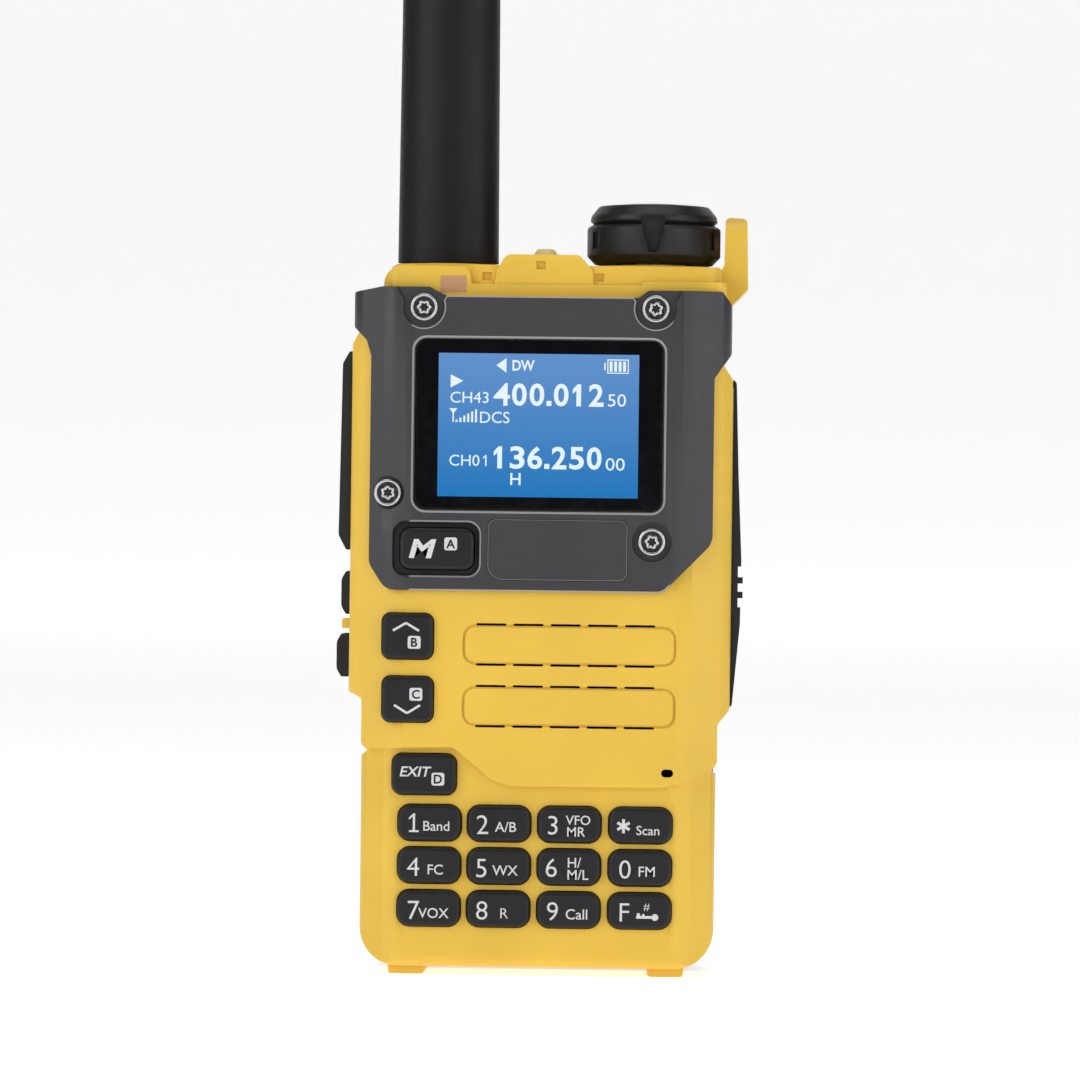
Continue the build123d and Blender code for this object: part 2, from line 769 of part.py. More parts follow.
def make_panel_nuts():
    """Hexagon nuts that clamp the pot's bush and the antenna socket to the deck."""
    hexagon = Plane.XY * RegularPolygon(4.9, 6)
    knob_nut = column(Pos(KNOB_X, SHAFT_DEPTH) * hexagon, BOSS_TOP, BOSS_TOP + 1.6)
    knob_nut -= pin_z(KNOB_X, SHAFT_DEPTH, 3.5, 100, 110)
    socket_nut = column(Pos(ANTENNA_X, SHAFT_DEPTH) * hexagon, 98.4, 100.4)
    socket_nut -= pin_z(ANTENNA_X, SHAFT_DEPTH, THREAD_RADIUS, 90, 110)
    return Compound(children=[knob_nut, socket_nut])


def make_knob_grip():
    """Grip ring of the volume knob, with an index notch and five finger recesses."""
    ring = turned(
        (
            (6.4, KNOB_BOTTOM),
            (8.9, KNOB_BOTTOM, 0.3),
            (KNOB_RADIUS, 108.3, 0.5),
            (KNOB_RADIUS, 112.6, 0.6),
            (9.2, KNOB_SPLIT),
            (SHAFT_RADIUS, KNOB_SPLIT),
            (SHAFT_RADIUS, 109.6),
            (6.4, 109.6),
        ),
        KNOB_X,
        SHAFT_DEPTH,
    )
    index_notch = outline((-0.7, 108.7, 0.4), (0.7, 108.7, 0.4), (1.9, 113.6), (-1.9, 113.6))
    ring -= Pos(KNOB_X, SHAFT_DEPTH, 0) * slab(index_notch, -11, -8.9)
    recess = slab(rounded(0, 110.6, 1.7, 2.6, 0.3), -11, 0.3 - KNOB_RADIUS)
    for index in range(1, 6):
        ring -= Pos(KNOB_X, SHAFT_DEPTH, 0) * Rot(0, 0, 60 * index) * recess
    return ring


def make_knob_cap():
    """Disc on top of the knob, with the index notch continued at the front."""
    cap = turned(
        (
            (0, KNOB_SPLIT),
            (9.1, KNOB_SPLIT),
            (9.65, KNOB_SPLIT + 0.5, 0.3),
            (9.5, KNOB_SPLIT + 1.3, 0.5),
            (8.3, KNOB_TOP - 0.4, 0.8),
            (4.0, KNOB_TOP - 0.05),
            (0, KNOB_TOP),
        ),
        KNOB_X,
        SHAFT_DEPTH,
    )
    notch = outline((-1.8, 112.6), (1.8, 112.6), (1.8, 114.1, 0.3), (-1.8, 114.1, 0.3))
    return cap - Pos(KNOB_X, SHAFT_DEPTH, 0) * slab(notch, -11, -8.9)


def make_antenna_socket():
    """Threaded coaxial socket that the antenna screws onto."""
    flange = pin_z(ANTENNA_X, SHAFT_DEPTH, 4.6, 100.4, 101.0)
    barrel = pin_z(ANTENNA_X, SHAFT_DEPTH, THREAD_RADIUS, 93.0, 112.0)
    return flange + barrel - pin_z(ANTENNA_X, SHAFT_DEPTH, 2.2, 96, 113)


def antenna_section(height, across, deep):
    """One oval cross-section of the antenna."""
    return Plane.XY.offset(height) * Pos(ANTENNA_X, SHAFT_DEPTH) * Ellipse(across / 2, deep / 2)


def make_antenna_sleeve():
    """Rubber antenna: a long oval blade that tapers to a rounded tip."""
    sleeve = loft(
        [
            antenna_section(ANTENNA_BOTTOM, 15.3, 11.2),
            antenna_section(160.0, 14.6, 10.4),
            antenna_section(ANTENNA_TOP, 12.4, 8.2),
        ]
    )
    sleeve = fillet(sleeve.edges().group_by(Axis.Z)[-1], 2.4)
    sleeve -= pin_z(ANTENNA_X, SHAFT_DEPTH, 4.4, 100, 117.0)
    return sleeve - pin_z(ANTENNA_X, SHAFT_DEPTH, 1.6, 116, 236.0)


def make_antenna_connector():
    """Metal connector in the antenna's foot, threaded over the socket."""
    shell = pin_z(ANTENNA_X, SHAFT_DEPTH, 4.4, ANTENNA_BOTTOM + 0.2, 117.0)
    return shell - pin_z(ANTENNA_X, SHAFT_DEPTH, THREAD_RADIUS + 0.05, 100, 113.0)


def make_antenna_core():
    """The wound radiator inside the rubber."""
    return pin_z(ANTENNA_X, SHAFT_DEPTH, 1.6, 117.0, 236.0)


def make_antenna_gasket():
    """Rubber ring between the antenna's foot and the boss."""
    ring = pin_z(ANTENNA_X, SHAFT_DEPTH, 5.3, BOSS_TOP + 0.02, ANTENNA_BOTTOM - 0.03)
    return ring - pin_z(ANTENNA_X, SHAFT_DEPTH, THREAD_RADIUS + 0.1, 100, 110)


def make_torch_lens():
    """Domed lens of the torch on the hump."""
    return turned(
        ((0, 103.5), (1.75, 103.5), (1.75, 108.4), (1.35, 109.1, 0.5), (0, 109.25)), 0, 14.0
    )


def make_status_window():
    """Translucent window of the status light, in the front of the ledge."""
    return block(*STATUS_WINDOW)


# ---------------------------------------------------------------- side controls

def make_ptt_button():
    """Push-to-talk bar with bevelled ends, on a flange inside the wall."""
    low, high = PTT_Z
    front, back = PTT_DEPTHS
    face = outline(
        (-26.4, low),
        (-29.3, low, 0.4),
        (-30.45, low + 2.2, 1.0),
        (-30.1, high - 1.8, 1.0),
        (-29.1, high, 0.4),
        (-26.4, high),
    )
    bar = slab(face, front, back)
    grip = [
        block((-31, -30.15), (front + 1.5, back - 1.5), (z - 0.25, z + 0.25))
        for z in (72.0, 74.0, 76.0, 78.0, 80.0)
    ]
    flange = block((-26.4, -25.7), (front + 0.6, back + 0.7), (low - 0.7, high + 0.1))
    return bar - grip + flange


def make_side_key(limits, bulge):
    """One side key: a rounded cap on a flange inside the wall."""
    low, high = limits
    front, back = SIDE_KEY_DEPTHS
    face = outline(
        (-26.4, low),
        (0.7 - bulge, low, 0.4),
        (-bulge, low + 1.2, 1.6),
        (-bulge, high - 1.2, 1.6),
        (0.7 - bulge, high, 0.4),
        (-26.4, high),
    )
    flange = block((-26.4, -25.7), (front - 0.5, back + 0.5), (low - 0.25, high + 0.25))
    return slab(face, front, back) + flange


def make_side_switches():
    """Small upright board with the three tact switches behind the side keys."""
    strip = block((-21.6, -20.8), (BOARD_BACK, 16.0), (45.0, 84.0))
    for z in (78.0, sum(SIDE_KEY_UPPER_Z) / 2, sum(SIDE_KEY_LOWER_Z) / 2):
        strip += block((-23.6, -21.6), (10.8, 14.2), (z - 1.7, z + 1.7))
        strip += pin_x(12.5, z, 0.9, -24.6, -23.0)
    return strip


def make_jack_cover():
    """Rubber flap over the sockets, hinged at its top on two moulded pins."""
    low, high = COVER_Z
    front, back = COVER_DEPTHS
    pin_centre, pin_height = COVER_PIN
    face = outline(
        (COVER_FLOOR + 0.1, low),
        (28.9, low, 0.5),
        (30.0, 53.0, 4.0),
        (30.1, 62.5, 4.0),
        (29.5, 76.0, 6.0),
        (29.1, pin_height),
        (COVER_FLOOR + 0.1, pin_height),
    )
    flap = slab(face, front, back)
    flap -= block((29.6, 31), (front - 1, back + 1), (55.4, 61.6))
    for z in (57.3, 59.5):
        flap += block((29.4, 30.35), (front + 0.4, back - 0.4), (z - 0.45, z + 0.45))
    flap += pin_y(pin_centre, pin_height, 0.8, front, back)
    return flap + pin_y(pin_centre, pin_height, COVER_PIN_RADIUS, front - 0.7, back + 0.7)


def make_accessory_jacks():
    """Moulded block with the speaker and microphone sockets."""
    jacks = block((14.5, 26.3), (BOARD_BACK, 17.0), (51.5, 72.5))
    jacks += pin_x(JACK_DEPTH, SPEAKER_JACK_Z, 2.6, 20, COVER_FLOOR)
    jacks += pin_x(JACK_DEPTH, MIC_JACK_Z, 2.1, 20, COVER_FLOOR)
    jacks -= pin_x(JACK_DEPTH, SPEAKER_JACK_Z, SPEAKER_JACK_RADIUS, 15.4, 30)
    return jacks - pin_x(JACK_DEPTH, MIC_JACK_Z, MIC_JACK_RADIUS, 15.4, 30)


def make_usb_port():
    """Metal shell and tongue of the charging socket."""
    shell = crosswise(Pos(USB_DEPTH, USB_Z) * RectangleRounded(3.2, 8.9, 1.55), 20, COVER_FLOOR)
    hollow = crosswise(Pos(USB_DEPTH, USB_Z) * RectangleRounded(2.6, 8.3, 1.25), 20.6, 28)
    tongue = block((20.3, 26.6), (USB_DEPTH - 0.35, USB_DEPTH + 0.35), (USB_Z - 3.3, USB_Z + 3.3))
    return shell - hollow + tongue


# ---------------------------------------------------------------- back

def make_chassis():
    """Rear frame: a plate that closes the case, with a raised block at the top."""
    plate_outline = outline(
        (-25.6, 1.5, 5.5),
        (25.6, 1.5, 5.5),
        (25.6, 38.0, 1.0),
        (CHASSIS_HALF, 43.0, 1.0),
        (CHASSIS_HALF, 89.0, 1.0),
        (26.6, 92.0, 1.0),
        (26.6, CASE_TOP),
        (-26.6, CASE_TOP),
        (-26.6, 92.0, 1.0),
        (-CHASSIS_HALF, 89.0, 1.0),
        (-CHASSIS_HALF, 43.0, 1.0),
        (-25.6, 38.0, 1.0),
    )
    plate = slab(plate_outline, CASE_BACK, CHASSIS_BACK)
    block_plan = outline(
        (-26.6, 21.0), (26.6, 21.0), (26.6, BLOCK_BACK, 4.5), (-26.6, BLOCK_BACK, 4.5)
    )
    raised = column(block_plan, 85.0, CASE_TOP)
    raised = fillet(raised.edges().group_by(Axis.Z)[0].group_by(Axis.Y)[-1], 1.5)
    hollow_plan = outline(
        (-24.0, 15.0), (24.0, 15.0), (24.0, BLOCK_BACK - 2.4, 2.5), (-24.0, BLOCK_BACK - 2.4, 2.5)
    )
    chassis = plate + raised - column(hollow_plan, 87.4, CASE_TOP + 1)
    for x, z in back_screw_places()[:2]:
        chassis += pin_y(x, z, 2.0, CASE_BACK, BLOCK_BACK - 1)
    for x, z in back_screw_places():
        head = BLOCK_BACK - 1.6 if z > 50 else CHASSIS_BACK - 1.4
        chassis -= pin_y(x, z, 2.1, head, 40)
        chassis -= pin_y(x, z, 1.1, 15, 40)
    chassis -= latch_space(0.15)
    for x in (-6.0, 0.0, 6.0):
        chassis -= block((x - 1.6, x + 1.6), (CHASSIS_BACK - 0.5, 30), (60.0, 66.0))
    for x in (-5.5, 5.5):
        chassis -= pin_y(x, 94.0, 0.9, 30, 40)
    return chassis


def latch_space(gap):
    """Room in the block's underside for the battery latch and its upward travel."""
    return block((-8 - gap, 8 + gap), (33.0 - gap, 36), (84, 90.6)) + block(
        (-10, 10), (30.9 - gap, 33.1), (86.6 - gap, 90.6)
    )


def make_battery_latch():
    """Sliding catch above the battery, with a ribbed thumb face."""
    thumb = block((-8, 8), (33.0, 36.2), (84.9, 88.4))
    for z in (85.6, 86.6, 87.6):
        thumb -= block((-9, 9), (35.9, 37), (z - 0.2, z + 0.2))
    return thumb + block((-9.8, 9.8), (30.9, 33.0), (86.6, 88.4))


def make_back_screws():
    """Four screws that hold the chassis to the case."""
    screws = []
    for x, z in back_screw_places():
        seat = BLOCK_BACK - 1.6 if z > 50 else CHASSIS_BACK - 1.4
        head = pin_y(x, z, 1.9, seat, seat + 1.2)
        slot = block((x - 1.1, x + 1.1), (seat + 0.6, seat + 2), (z - 0.2, z + 0.2))
        slot += block((x - 0.2, x + 0.2), (seat + 0.6, seat + 2), (z - 1.1, z + 1.1))
        screws.append(head + pin_y(x, z, 0.98, 13.5, seat) - slot)
    return Compound(children=screws)


def battery_outline(margin=0.0):
    """Rear outline of the battery, grown by a margin."""
    half = BATTERY_HALF + margin
    low, high = BATTERY_BOTTOM - margin, BATTERY_TOP + margin
    return outline((-half, low, 6.0), (half, low, 6.0), (half, high, 2.0), (-half, high, 2.0))


def make_battery_case():
    """Battery shell with rounded back edges, finger ribs and two feet."""
    plan = outline(
        (-BATTERY_HALF, 24.2),
        (-BATTERY_HALF, BATTERY_BACK - 3.5, 3.0),
        (-BATTERY_HALF + 6.0, BATTERY_BACK, 4.0),
        (BATTERY_HALF - 6.0, BATTERY_BACK, 4.0),
        (BATTERY_HALF, BATTERY_BACK - 3.5, 3.0),
        (BATTERY_HALF, 24.2),
    )
    shell = column(plan, 0, 90) & slab(battery_outline(), 24.2, BATTERY_BACK)
    shell -= slab(battery_outline(-1.6), 20, BATTERY_BACK - 2.0) & column(
        outline((-24.6, 20), (-24.6, 34.0), (-19, 36.0), (19, 36.0), (24.6, 34.0), (24.6, 20)), 0, 90
    )
    for index in range(6):
        z = 8.0 + 2.4 * index
        shell -= block((-18, 18), (BATTERY_BACK - 0.5, 40), (z, z + 1.2))
    for side in (-1, 1):
        inner, outer = sorted((side * 16.7, side * 22.1))
        foot = block((inner, outer), (27.0, 34.0), (0.0, 3.0))
        shell += foot
    return shell


def make_battery_lid():
    """Inner lid that closes the battery shell and carries its contacts."""
    lid = slab(battery_outline(), CHASSIS_BACK + 0.05, 24.2)
    for x in (-6.0, 0.0, 6.0):
        lid -= block((x - 1.4, x + 1.4), (20, 23.4), (60.2, 65.8))
    return lid


def make_battery_pads():
    """Three contact pads let into the lid."""
    pads = [
        block((x - 1.4, x + 1.4), (CHASSIS_BACK + 0.1, 23.4), (60.2, 65.8)) for x in (-6.0, 0.0, 6.0)
    ]
    return Compound(children=pads)


def make_battery_cell():
    """Flat lithium cell inside the battery shell."""
    cell = block((-21.0, 21.0), (24.6, 33.6), (8.0, 74.0))
    return fillet(cell.edges().filter_by(Axis.Z), 2.0)


# ---------------------------------------------------------------- belt clip

def make_clip_bracket():
    """Base of the belt clip, screwed to the block, with two ears for the pin."""
    base = block((-CLIP_HALF, CLIP_HALF), (BLOCK_BACK, 36.2), (91.2, 100.8))
    base = fillet(base.edges().filter_by(Axis.Y), 1.2)
    for side in (-1, 1):
        inner, outer = sorted((side * 5.6, side * 7.4))
        ear = crosswise(
            outline((36.0, 92.6), (36.0, 99.8), (42.0, 98.6, 1.8), (42.0, 93.8, 1.8)), inner, outer
        )
        base += ear
    base -= pin_x(CLIP_PIN_DEPTH, LEVER_PIN_HEIGHT, 1.05, -10, 10)
    for x in (-3.0, 3.0):
        base -= pin_y(x, 98.6, 0.9, 30, 40)
    return base


def make_clip_pin():
    """Pivot pin of the belt clip, fixed in the bracket's ears."""
    return pin_x(CLIP_PIN_DEPTH, LEVER_PIN_HEIGHT, 1.0, -8.6, 8.6)


def make_clip_lever():
    """Sprung lever of the belt clip, pressed at the top and open below."""
    side = outline(
        (43.0, 103.4, 0.8),
        (44.6, 103.4, 0.8),
        (DEPTH, 96.0, 8.0),
        (DEPTH, 48.0, 20.0),
        (43.8, 38.0, 1.2),
        (41.2, 37.2, 0.8),
        (43.2, 46.0, 16.0),
        (44.0, 60.0, 30.0),
        (43.4, 96.0, 8.0),
    )
    lever = crosswise(side, -CLIP_HALF, CLIP_HALF)
    face = outline(
        (-CLIP_HALF, 104.0, 2.0), (CLIP_HALF, 104.0, 2.0), (8.0, 37.0, 4.0), (-8.0, 37.0, 4.0)
    )
    lever = lever & slab(face, 30, 50)
    for side_sign in (-1, 1):
        inner, outer = sorted((side_sign * 7.6, side_sign * 8.6))
        knuckle = pin_x(CLIP_PIN_DEPTH, LEVER_PIN_HEIGHT, 2.2, inner, outer)
        heights = (LEVER_PIN_HEIGHT - 2.2, LEVER_PIN_HEIGHT + 2.2)
        knuckle += block((inner, outer), (CLIP_PIN_DEPTH, 44.0), heights)
        lever += knuckle
    return lever - pin_x(CLIP_PIN_DEPTH, LEVER_PIN_HEIGHT, 1.05, -10, 10)


def make_clip_spring():
    """Torsion spring coiled round the pin between the ears."""
    turns = []
    for index in range(5):
        ring = Torus(2.0, 0.35)
        x = (index - 2) * 1.2
        turns.append(Pos(x, CLIP_PIN_DEPTH, LEVER_PIN_HEIGHT) * Rot(0, 90, 0) * ring)
    return Compound(children=turns)


# ---------------------------------------------------------------- all pieces

def make_radio():
    """Every piece of the radio, by name."""
    pieces = {
        "front_case": make_front_case(),
        "chassis": make_chassis(),
        "back_screws": make_back_screws(),
        "front_bezel": make_front_bezel(),
        "bezel_screws": make_bezel_screws(),
        "name_plate": make_name_plate(),
        "display_lens": make_display_lens(),
        "lcd_panel": make_lcd_panel(),
        "lcd_holder": make_lcd_holder(),
        "keypad_mat": make_keypad_mat(),
        "dome_switches": make_dome_switches(),
        "main_board": make_main_board(),
        "rf_shields": make_rf_shields(),
        "speaker_frame": make_speaker_frame(),
        "speaker_cone": make_speaker_cone(),
        "microphone": make_microphone(),
        "volume_pot": make_volume_pot(),
        "pot_shaft": make_pot_shaft(),
        "panel_nuts": make_panel_nuts(),
        "knob_grip": make_knob_grip(),
        "knob_cap": make_knob_cap(),
        "antenna_socket": make_antenna_socket(),
        "antenna_sleeve": make_antenna_sleeve(),
        "antenna_connector": make_antenna_connector(),
        "antenna_core": make_antenna_core(),
        "antenna_gasket": make_antenna_gasket(),
        "torch_lens": make_torch_lens(),
        "status_window": make_status_window(),
        "ptt_button": make_ptt_button(),
        "side_key_upper": make_side_key(SIDE_KEY_UPPER_Z, 30.0),
        "side_key_lower": make_side_key(SIDE_KEY_LOWER_Z, WIDTH / 2),
        "side_switches": make_side_switches(),
        "jack_cover": make_jack_cover(),
        "accessory_jacks": make_accessory_jacks(),
        "usb_port": make_usb_port(),
        "battery_case": make_battery_case(),
        "battery_lid": make_battery_lid(),
        "battery_cell": make_battery_cell(),
        "battery_pads": make_battery_pads(),
        "battery_latch": make_battery_latch(),
        "clip_bracket": make_clip_bracket(),
        "clip_lever": make_clip_lever(),
        "clip_pin": make_clip_pin(),
        "clip_spring": make_clip_spring(),
    }
    for name, key in all_keys().items():
        pieces[name] = make_key(key)
    return pieces


if __name__ == "__main__":
    os.makedirs("parts", exist_ok=True)
    for piece_name, piece in make_radio().items():
        save(piece, piece_name)
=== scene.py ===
"""Looks of the handheld two way radio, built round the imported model."""
import json
import math

import bmesh
import bpy
from mathutils import Matrix, Vector


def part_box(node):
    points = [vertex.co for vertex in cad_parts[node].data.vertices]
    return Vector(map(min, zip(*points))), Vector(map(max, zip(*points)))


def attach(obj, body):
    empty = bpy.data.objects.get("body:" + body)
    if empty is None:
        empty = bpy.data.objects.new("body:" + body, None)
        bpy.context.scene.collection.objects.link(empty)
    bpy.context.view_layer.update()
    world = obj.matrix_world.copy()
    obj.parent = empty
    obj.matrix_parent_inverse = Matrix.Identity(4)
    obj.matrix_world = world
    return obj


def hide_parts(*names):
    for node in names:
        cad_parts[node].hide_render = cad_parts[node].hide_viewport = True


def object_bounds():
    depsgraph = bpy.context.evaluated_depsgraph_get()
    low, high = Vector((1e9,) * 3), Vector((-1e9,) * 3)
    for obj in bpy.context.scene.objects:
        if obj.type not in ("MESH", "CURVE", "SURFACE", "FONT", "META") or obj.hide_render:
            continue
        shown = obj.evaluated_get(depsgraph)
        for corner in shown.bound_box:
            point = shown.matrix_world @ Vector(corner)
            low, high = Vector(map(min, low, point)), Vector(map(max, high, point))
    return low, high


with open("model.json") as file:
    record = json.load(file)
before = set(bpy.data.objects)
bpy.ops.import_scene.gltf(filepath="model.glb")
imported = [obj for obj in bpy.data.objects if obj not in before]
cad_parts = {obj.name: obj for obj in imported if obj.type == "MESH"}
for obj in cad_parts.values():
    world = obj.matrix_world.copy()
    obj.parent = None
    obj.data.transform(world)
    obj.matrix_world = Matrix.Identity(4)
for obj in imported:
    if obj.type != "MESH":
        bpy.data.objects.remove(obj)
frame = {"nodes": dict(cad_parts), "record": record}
cad_box = [list(corner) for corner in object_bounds()]
nodes = frame["nodes"]

MM = 0.001
PRINT_THICKNESS = 0.03 * MM
LAYER_STEP = 0.004 * MM  # each further shape of a print is this much thicker, so no faces coincide
FRONT_PLANE = cad_box[0][1]  # Y of the frontmost point; the radio faces -Y


# ---------------------------------------------------------------- material tools

def new_material(name):
    """An empty node material with its shader and output."""
    material = bpy.data.materials.new(name)
    material.use_nodes = True
    tree = material.node_tree
    shader = tree.nodes["Principled BSDF"]
    return material, tree, shader


def node(tree, kind, **values):
    """A node with its properties and plain inputs set."""
    made = tree.nodes.new(kind)
    for key, value in values.items():
        if hasattr(made, key):
            setattr(made, key, value)
        else:
            made.inputs[key.replace("_", " ")].default_value = value
    return made


def noise(tree, scale, detail=3.0, roughness=0.6):
    """Noise over the object's own coordinates, scale in cycles per metre."""
    coords = tree.nodes.new("ShaderNodeTexCoord")
    made = node(tree, "ShaderNodeTexNoise", Scale=scale, Detail=detail, Roughness=roughness)
    tree.links.new(coords.outputs["Object"], made.inputs["Vector"])
    return made.outputs["Fac"]


def ramp(tree, source, low, high, low_value, high_value):
    """Maps a factor to a range of values."""
    made = tree.nodes.new("ShaderNodeMapRange")
    made.inputs["From Min"].default_value = low
    made.inputs["From Max"].default_value = high
    made.inputs["To Min"].default_value = low_value
    made.inputs["To Max"].default_value = high_value
    tree.links.new(source, made.inputs["Value"])
    return made.outputs["Result"]


def mix_colour(tree, factor, first, second):
    """Mixes two fixed colours by a factor."""
    made = tree.nodes.new("ShaderNodeMix")
    made.data_type = "RGBA"
    made.inputs[6].default_value = (*first, 1)
    made.inputs[7].default_value = (*second, 1)
    tree.links.new(factor, made.inputs[0])
    return made.outputs[2]


def bump(tree, shader, source, strength, distance):
    """Adds a bump of a real height in metres to the shader."""
    made = node(tree, "ShaderNodeBump", Strength=strength, Distance=distance)
    tree.links.new(source, made.inputs["Height"])
    tree.links.new(made.outputs["Normal"], shader.inputs["Normal"])


def moulded(name, colour, roughness, grain=2600.0, grain_depth=0.00002, wear=0.12, specular=0.5):
    """Moulded plastic or rubber: fine grain, slow colour drift and uneven sheen."""
    material, tree, shader = new_material(name)
    drift = noise(tree, 45.0, 2.0)
    darker = tuple(c * (1 - wear) for c in colour)
    lighter = tuple(min(1.0, c * (1 + wear * 0.5)) for c in colour)
    mixed = mix_colour(tree, ramp(tree, drift, 0.35, 0.65, 0, 1), darker, lighter)
    tree.links.new(mixed, shader.inputs["Base Color"])
    rough = ramp(tree, noise(tree, 380.0, 4.0), 0.3, 0.7, roughness - 0.05, roughness + 0.07)
    tree.links.new(rough, shader.inputs["Roughness"])
    shader.inputs["Specular IOR Level"].default_value = specular
    bump(tree, shader, noise(tree, grain, 2.0), 0.5, grain_depth)
    return material


def edge_lit(name, colour, edge_colour, roughness, depths, half_width):
    """Moulded plastic whose bevels, between two depths in millimetres, get a lighter colour as a
    painted highlight.
    """
    material = moulded(name, colour, roughness, grain=3200, wear=0.08, specular=0.35)
    tree = material.node_tree
    shader = tree.nodes["Principled BSDF"]
    body_colour = shader.inputs["Base Color"].links[0].from_socket
    coords = tree.nodes.new("ShaderNodeTexCoord")
    split = tree.nodes.new("ShaderNodeSeparateXYZ")
    tree.links.new(coords.outputs["Object"], split.inputs[0])
    start, end = (FRONT_PLANE + depth * MM for depth in depths)
    soft = 0.04 * MM
    entering = ramp(tree, split.outputs["Y"], start, start + soft, 0, 1)
    leaving = ramp(tree, split.outputs["Y"], end, end + soft, 1, 0)
    across = node(tree, "ShaderNodeMath", operation="ABSOLUTE")
    tree.links.new(split.outputs["X"], across.inputs[0])
    inside = ramp(tree, across.outputs[0], (half_width - 0.3) * MM, half_width * MM, 1, 0)
    painted_highlight_mask = multiply(tree, multiply(tree, entering, leaving), inside)
    # painted highlight: bevels between the two depths, inside the half width, get the edge colour
    mixed = tree.nodes.new("ShaderNodeMix")
    mixed.data_type = "RGBA"
    tree.links.new(painted_highlight_mask, mixed.inputs[0])
    tree.links.new(body_colour, mixed.inputs[6])
    mixed.inputs[7].default_value = (*edge_colour, 1)
    tree.links.new(mixed.outputs[2], shader.inputs["Base Color"])
    return material


def multiply(tree, first, second):
    """The product of two factors."""
    made = node(tree, "ShaderNodeMath", operation="MULTIPLY")
    tree.links.new(first, made.inputs[0])
    tree.links.new(second, made.inputs[1])
    return made.outputs[0]


def metal(name, colour, roughness, brushed=900.0):
    """Bare or plated metal with faint streaks."""
    material, tree, shader = new_material(name)
    shader.inputs["Metallic"].default_value = 1.0
    streaks = noise(tree, brushed, 5.0)
    darker = tuple(c * 0.82 for c in colour)
    tree.links.new(mix_colour(tree, streaks, darker, colour), shader.inputs["Base Color"])
    rough = ramp(tree, streaks, 0.3, 0.7, roughness, roughness + 0.12)
    tree.links.new(rough, shader.inputs["Roughness"])
    bump(tree, shader, streaks, 0.3, 0.000002)
    return material


def clear(name, colour, roughness, transmission):
    """Clear or tinted moulded plastic."""
    material, tree, shader = new_material(name)
    haze = noise(tree, 500.0, 2.0)
    darker = tuple(c * 0.92 for c in colour)
    tree.links.new(mix_colour(tree, haze, darker, colour), shader.inputs["Base Color"])
    rough = ramp(tree, haze, 0.3, 0.7, roughness, roughness + 0.05)
    tree.links.new(rough, shader.inputs["Roughness"])
    shader.inputs["Transmission Weight"].default_value = transmission
    shader.inputs["IOR"].default_value = 1.49
    return material


def glowing(name, low_colour, high_colour, low_z, high_z, strength):
    """Lit display surface whose colour changes with height."""
    material, tree, shader = new_material(name)
    coords = tree.nodes.new("ShaderNodeTexCoord")
    split = tree.nodes.new("ShaderNodeSeparateXYZ")
    tree.links.new(coords.outputs["Object"], split.inputs[0])
    height = ramp(tree, split.outputs["Z"], low_z, high_z, 0, 1)
    colour = mix_colour(tree, height, low_colour, high_colour)
    shader.inputs["Base Color"].default_value = (0.004, 0.004, 0.005, 1)
    shader.inputs["Specular IOR Level"].default_value = 0.15
    tree.links.new(colour, shader.inputs["Emission Color"])
    shader.inputs["Emission Strength"].default_value = strength
    grain = noise(tree, 9000.0, 1.0)
    tree.links.new(ramp(tree, grain, 0.3, 0.7, 0.28, 0.36), shader.inputs["Roughness"])
    return material


YELLOW = (0.735, 0.470, 0.052)
GREY = (0.040, 0.038, 0.041)
# LIT_EDGE is a painted highlight for the bezel's and name plate's bevels
LIT_EDGE = (0.30, 0.29, 0.30)
BLACK = (0.008, 0.008, 0.009)
BEZEL_BEVEL = (0.52, 0.82)  # depths of the bezel's bevels behind the front plane, in mm
PLATE_BEVEL = (0.46, 0.62)

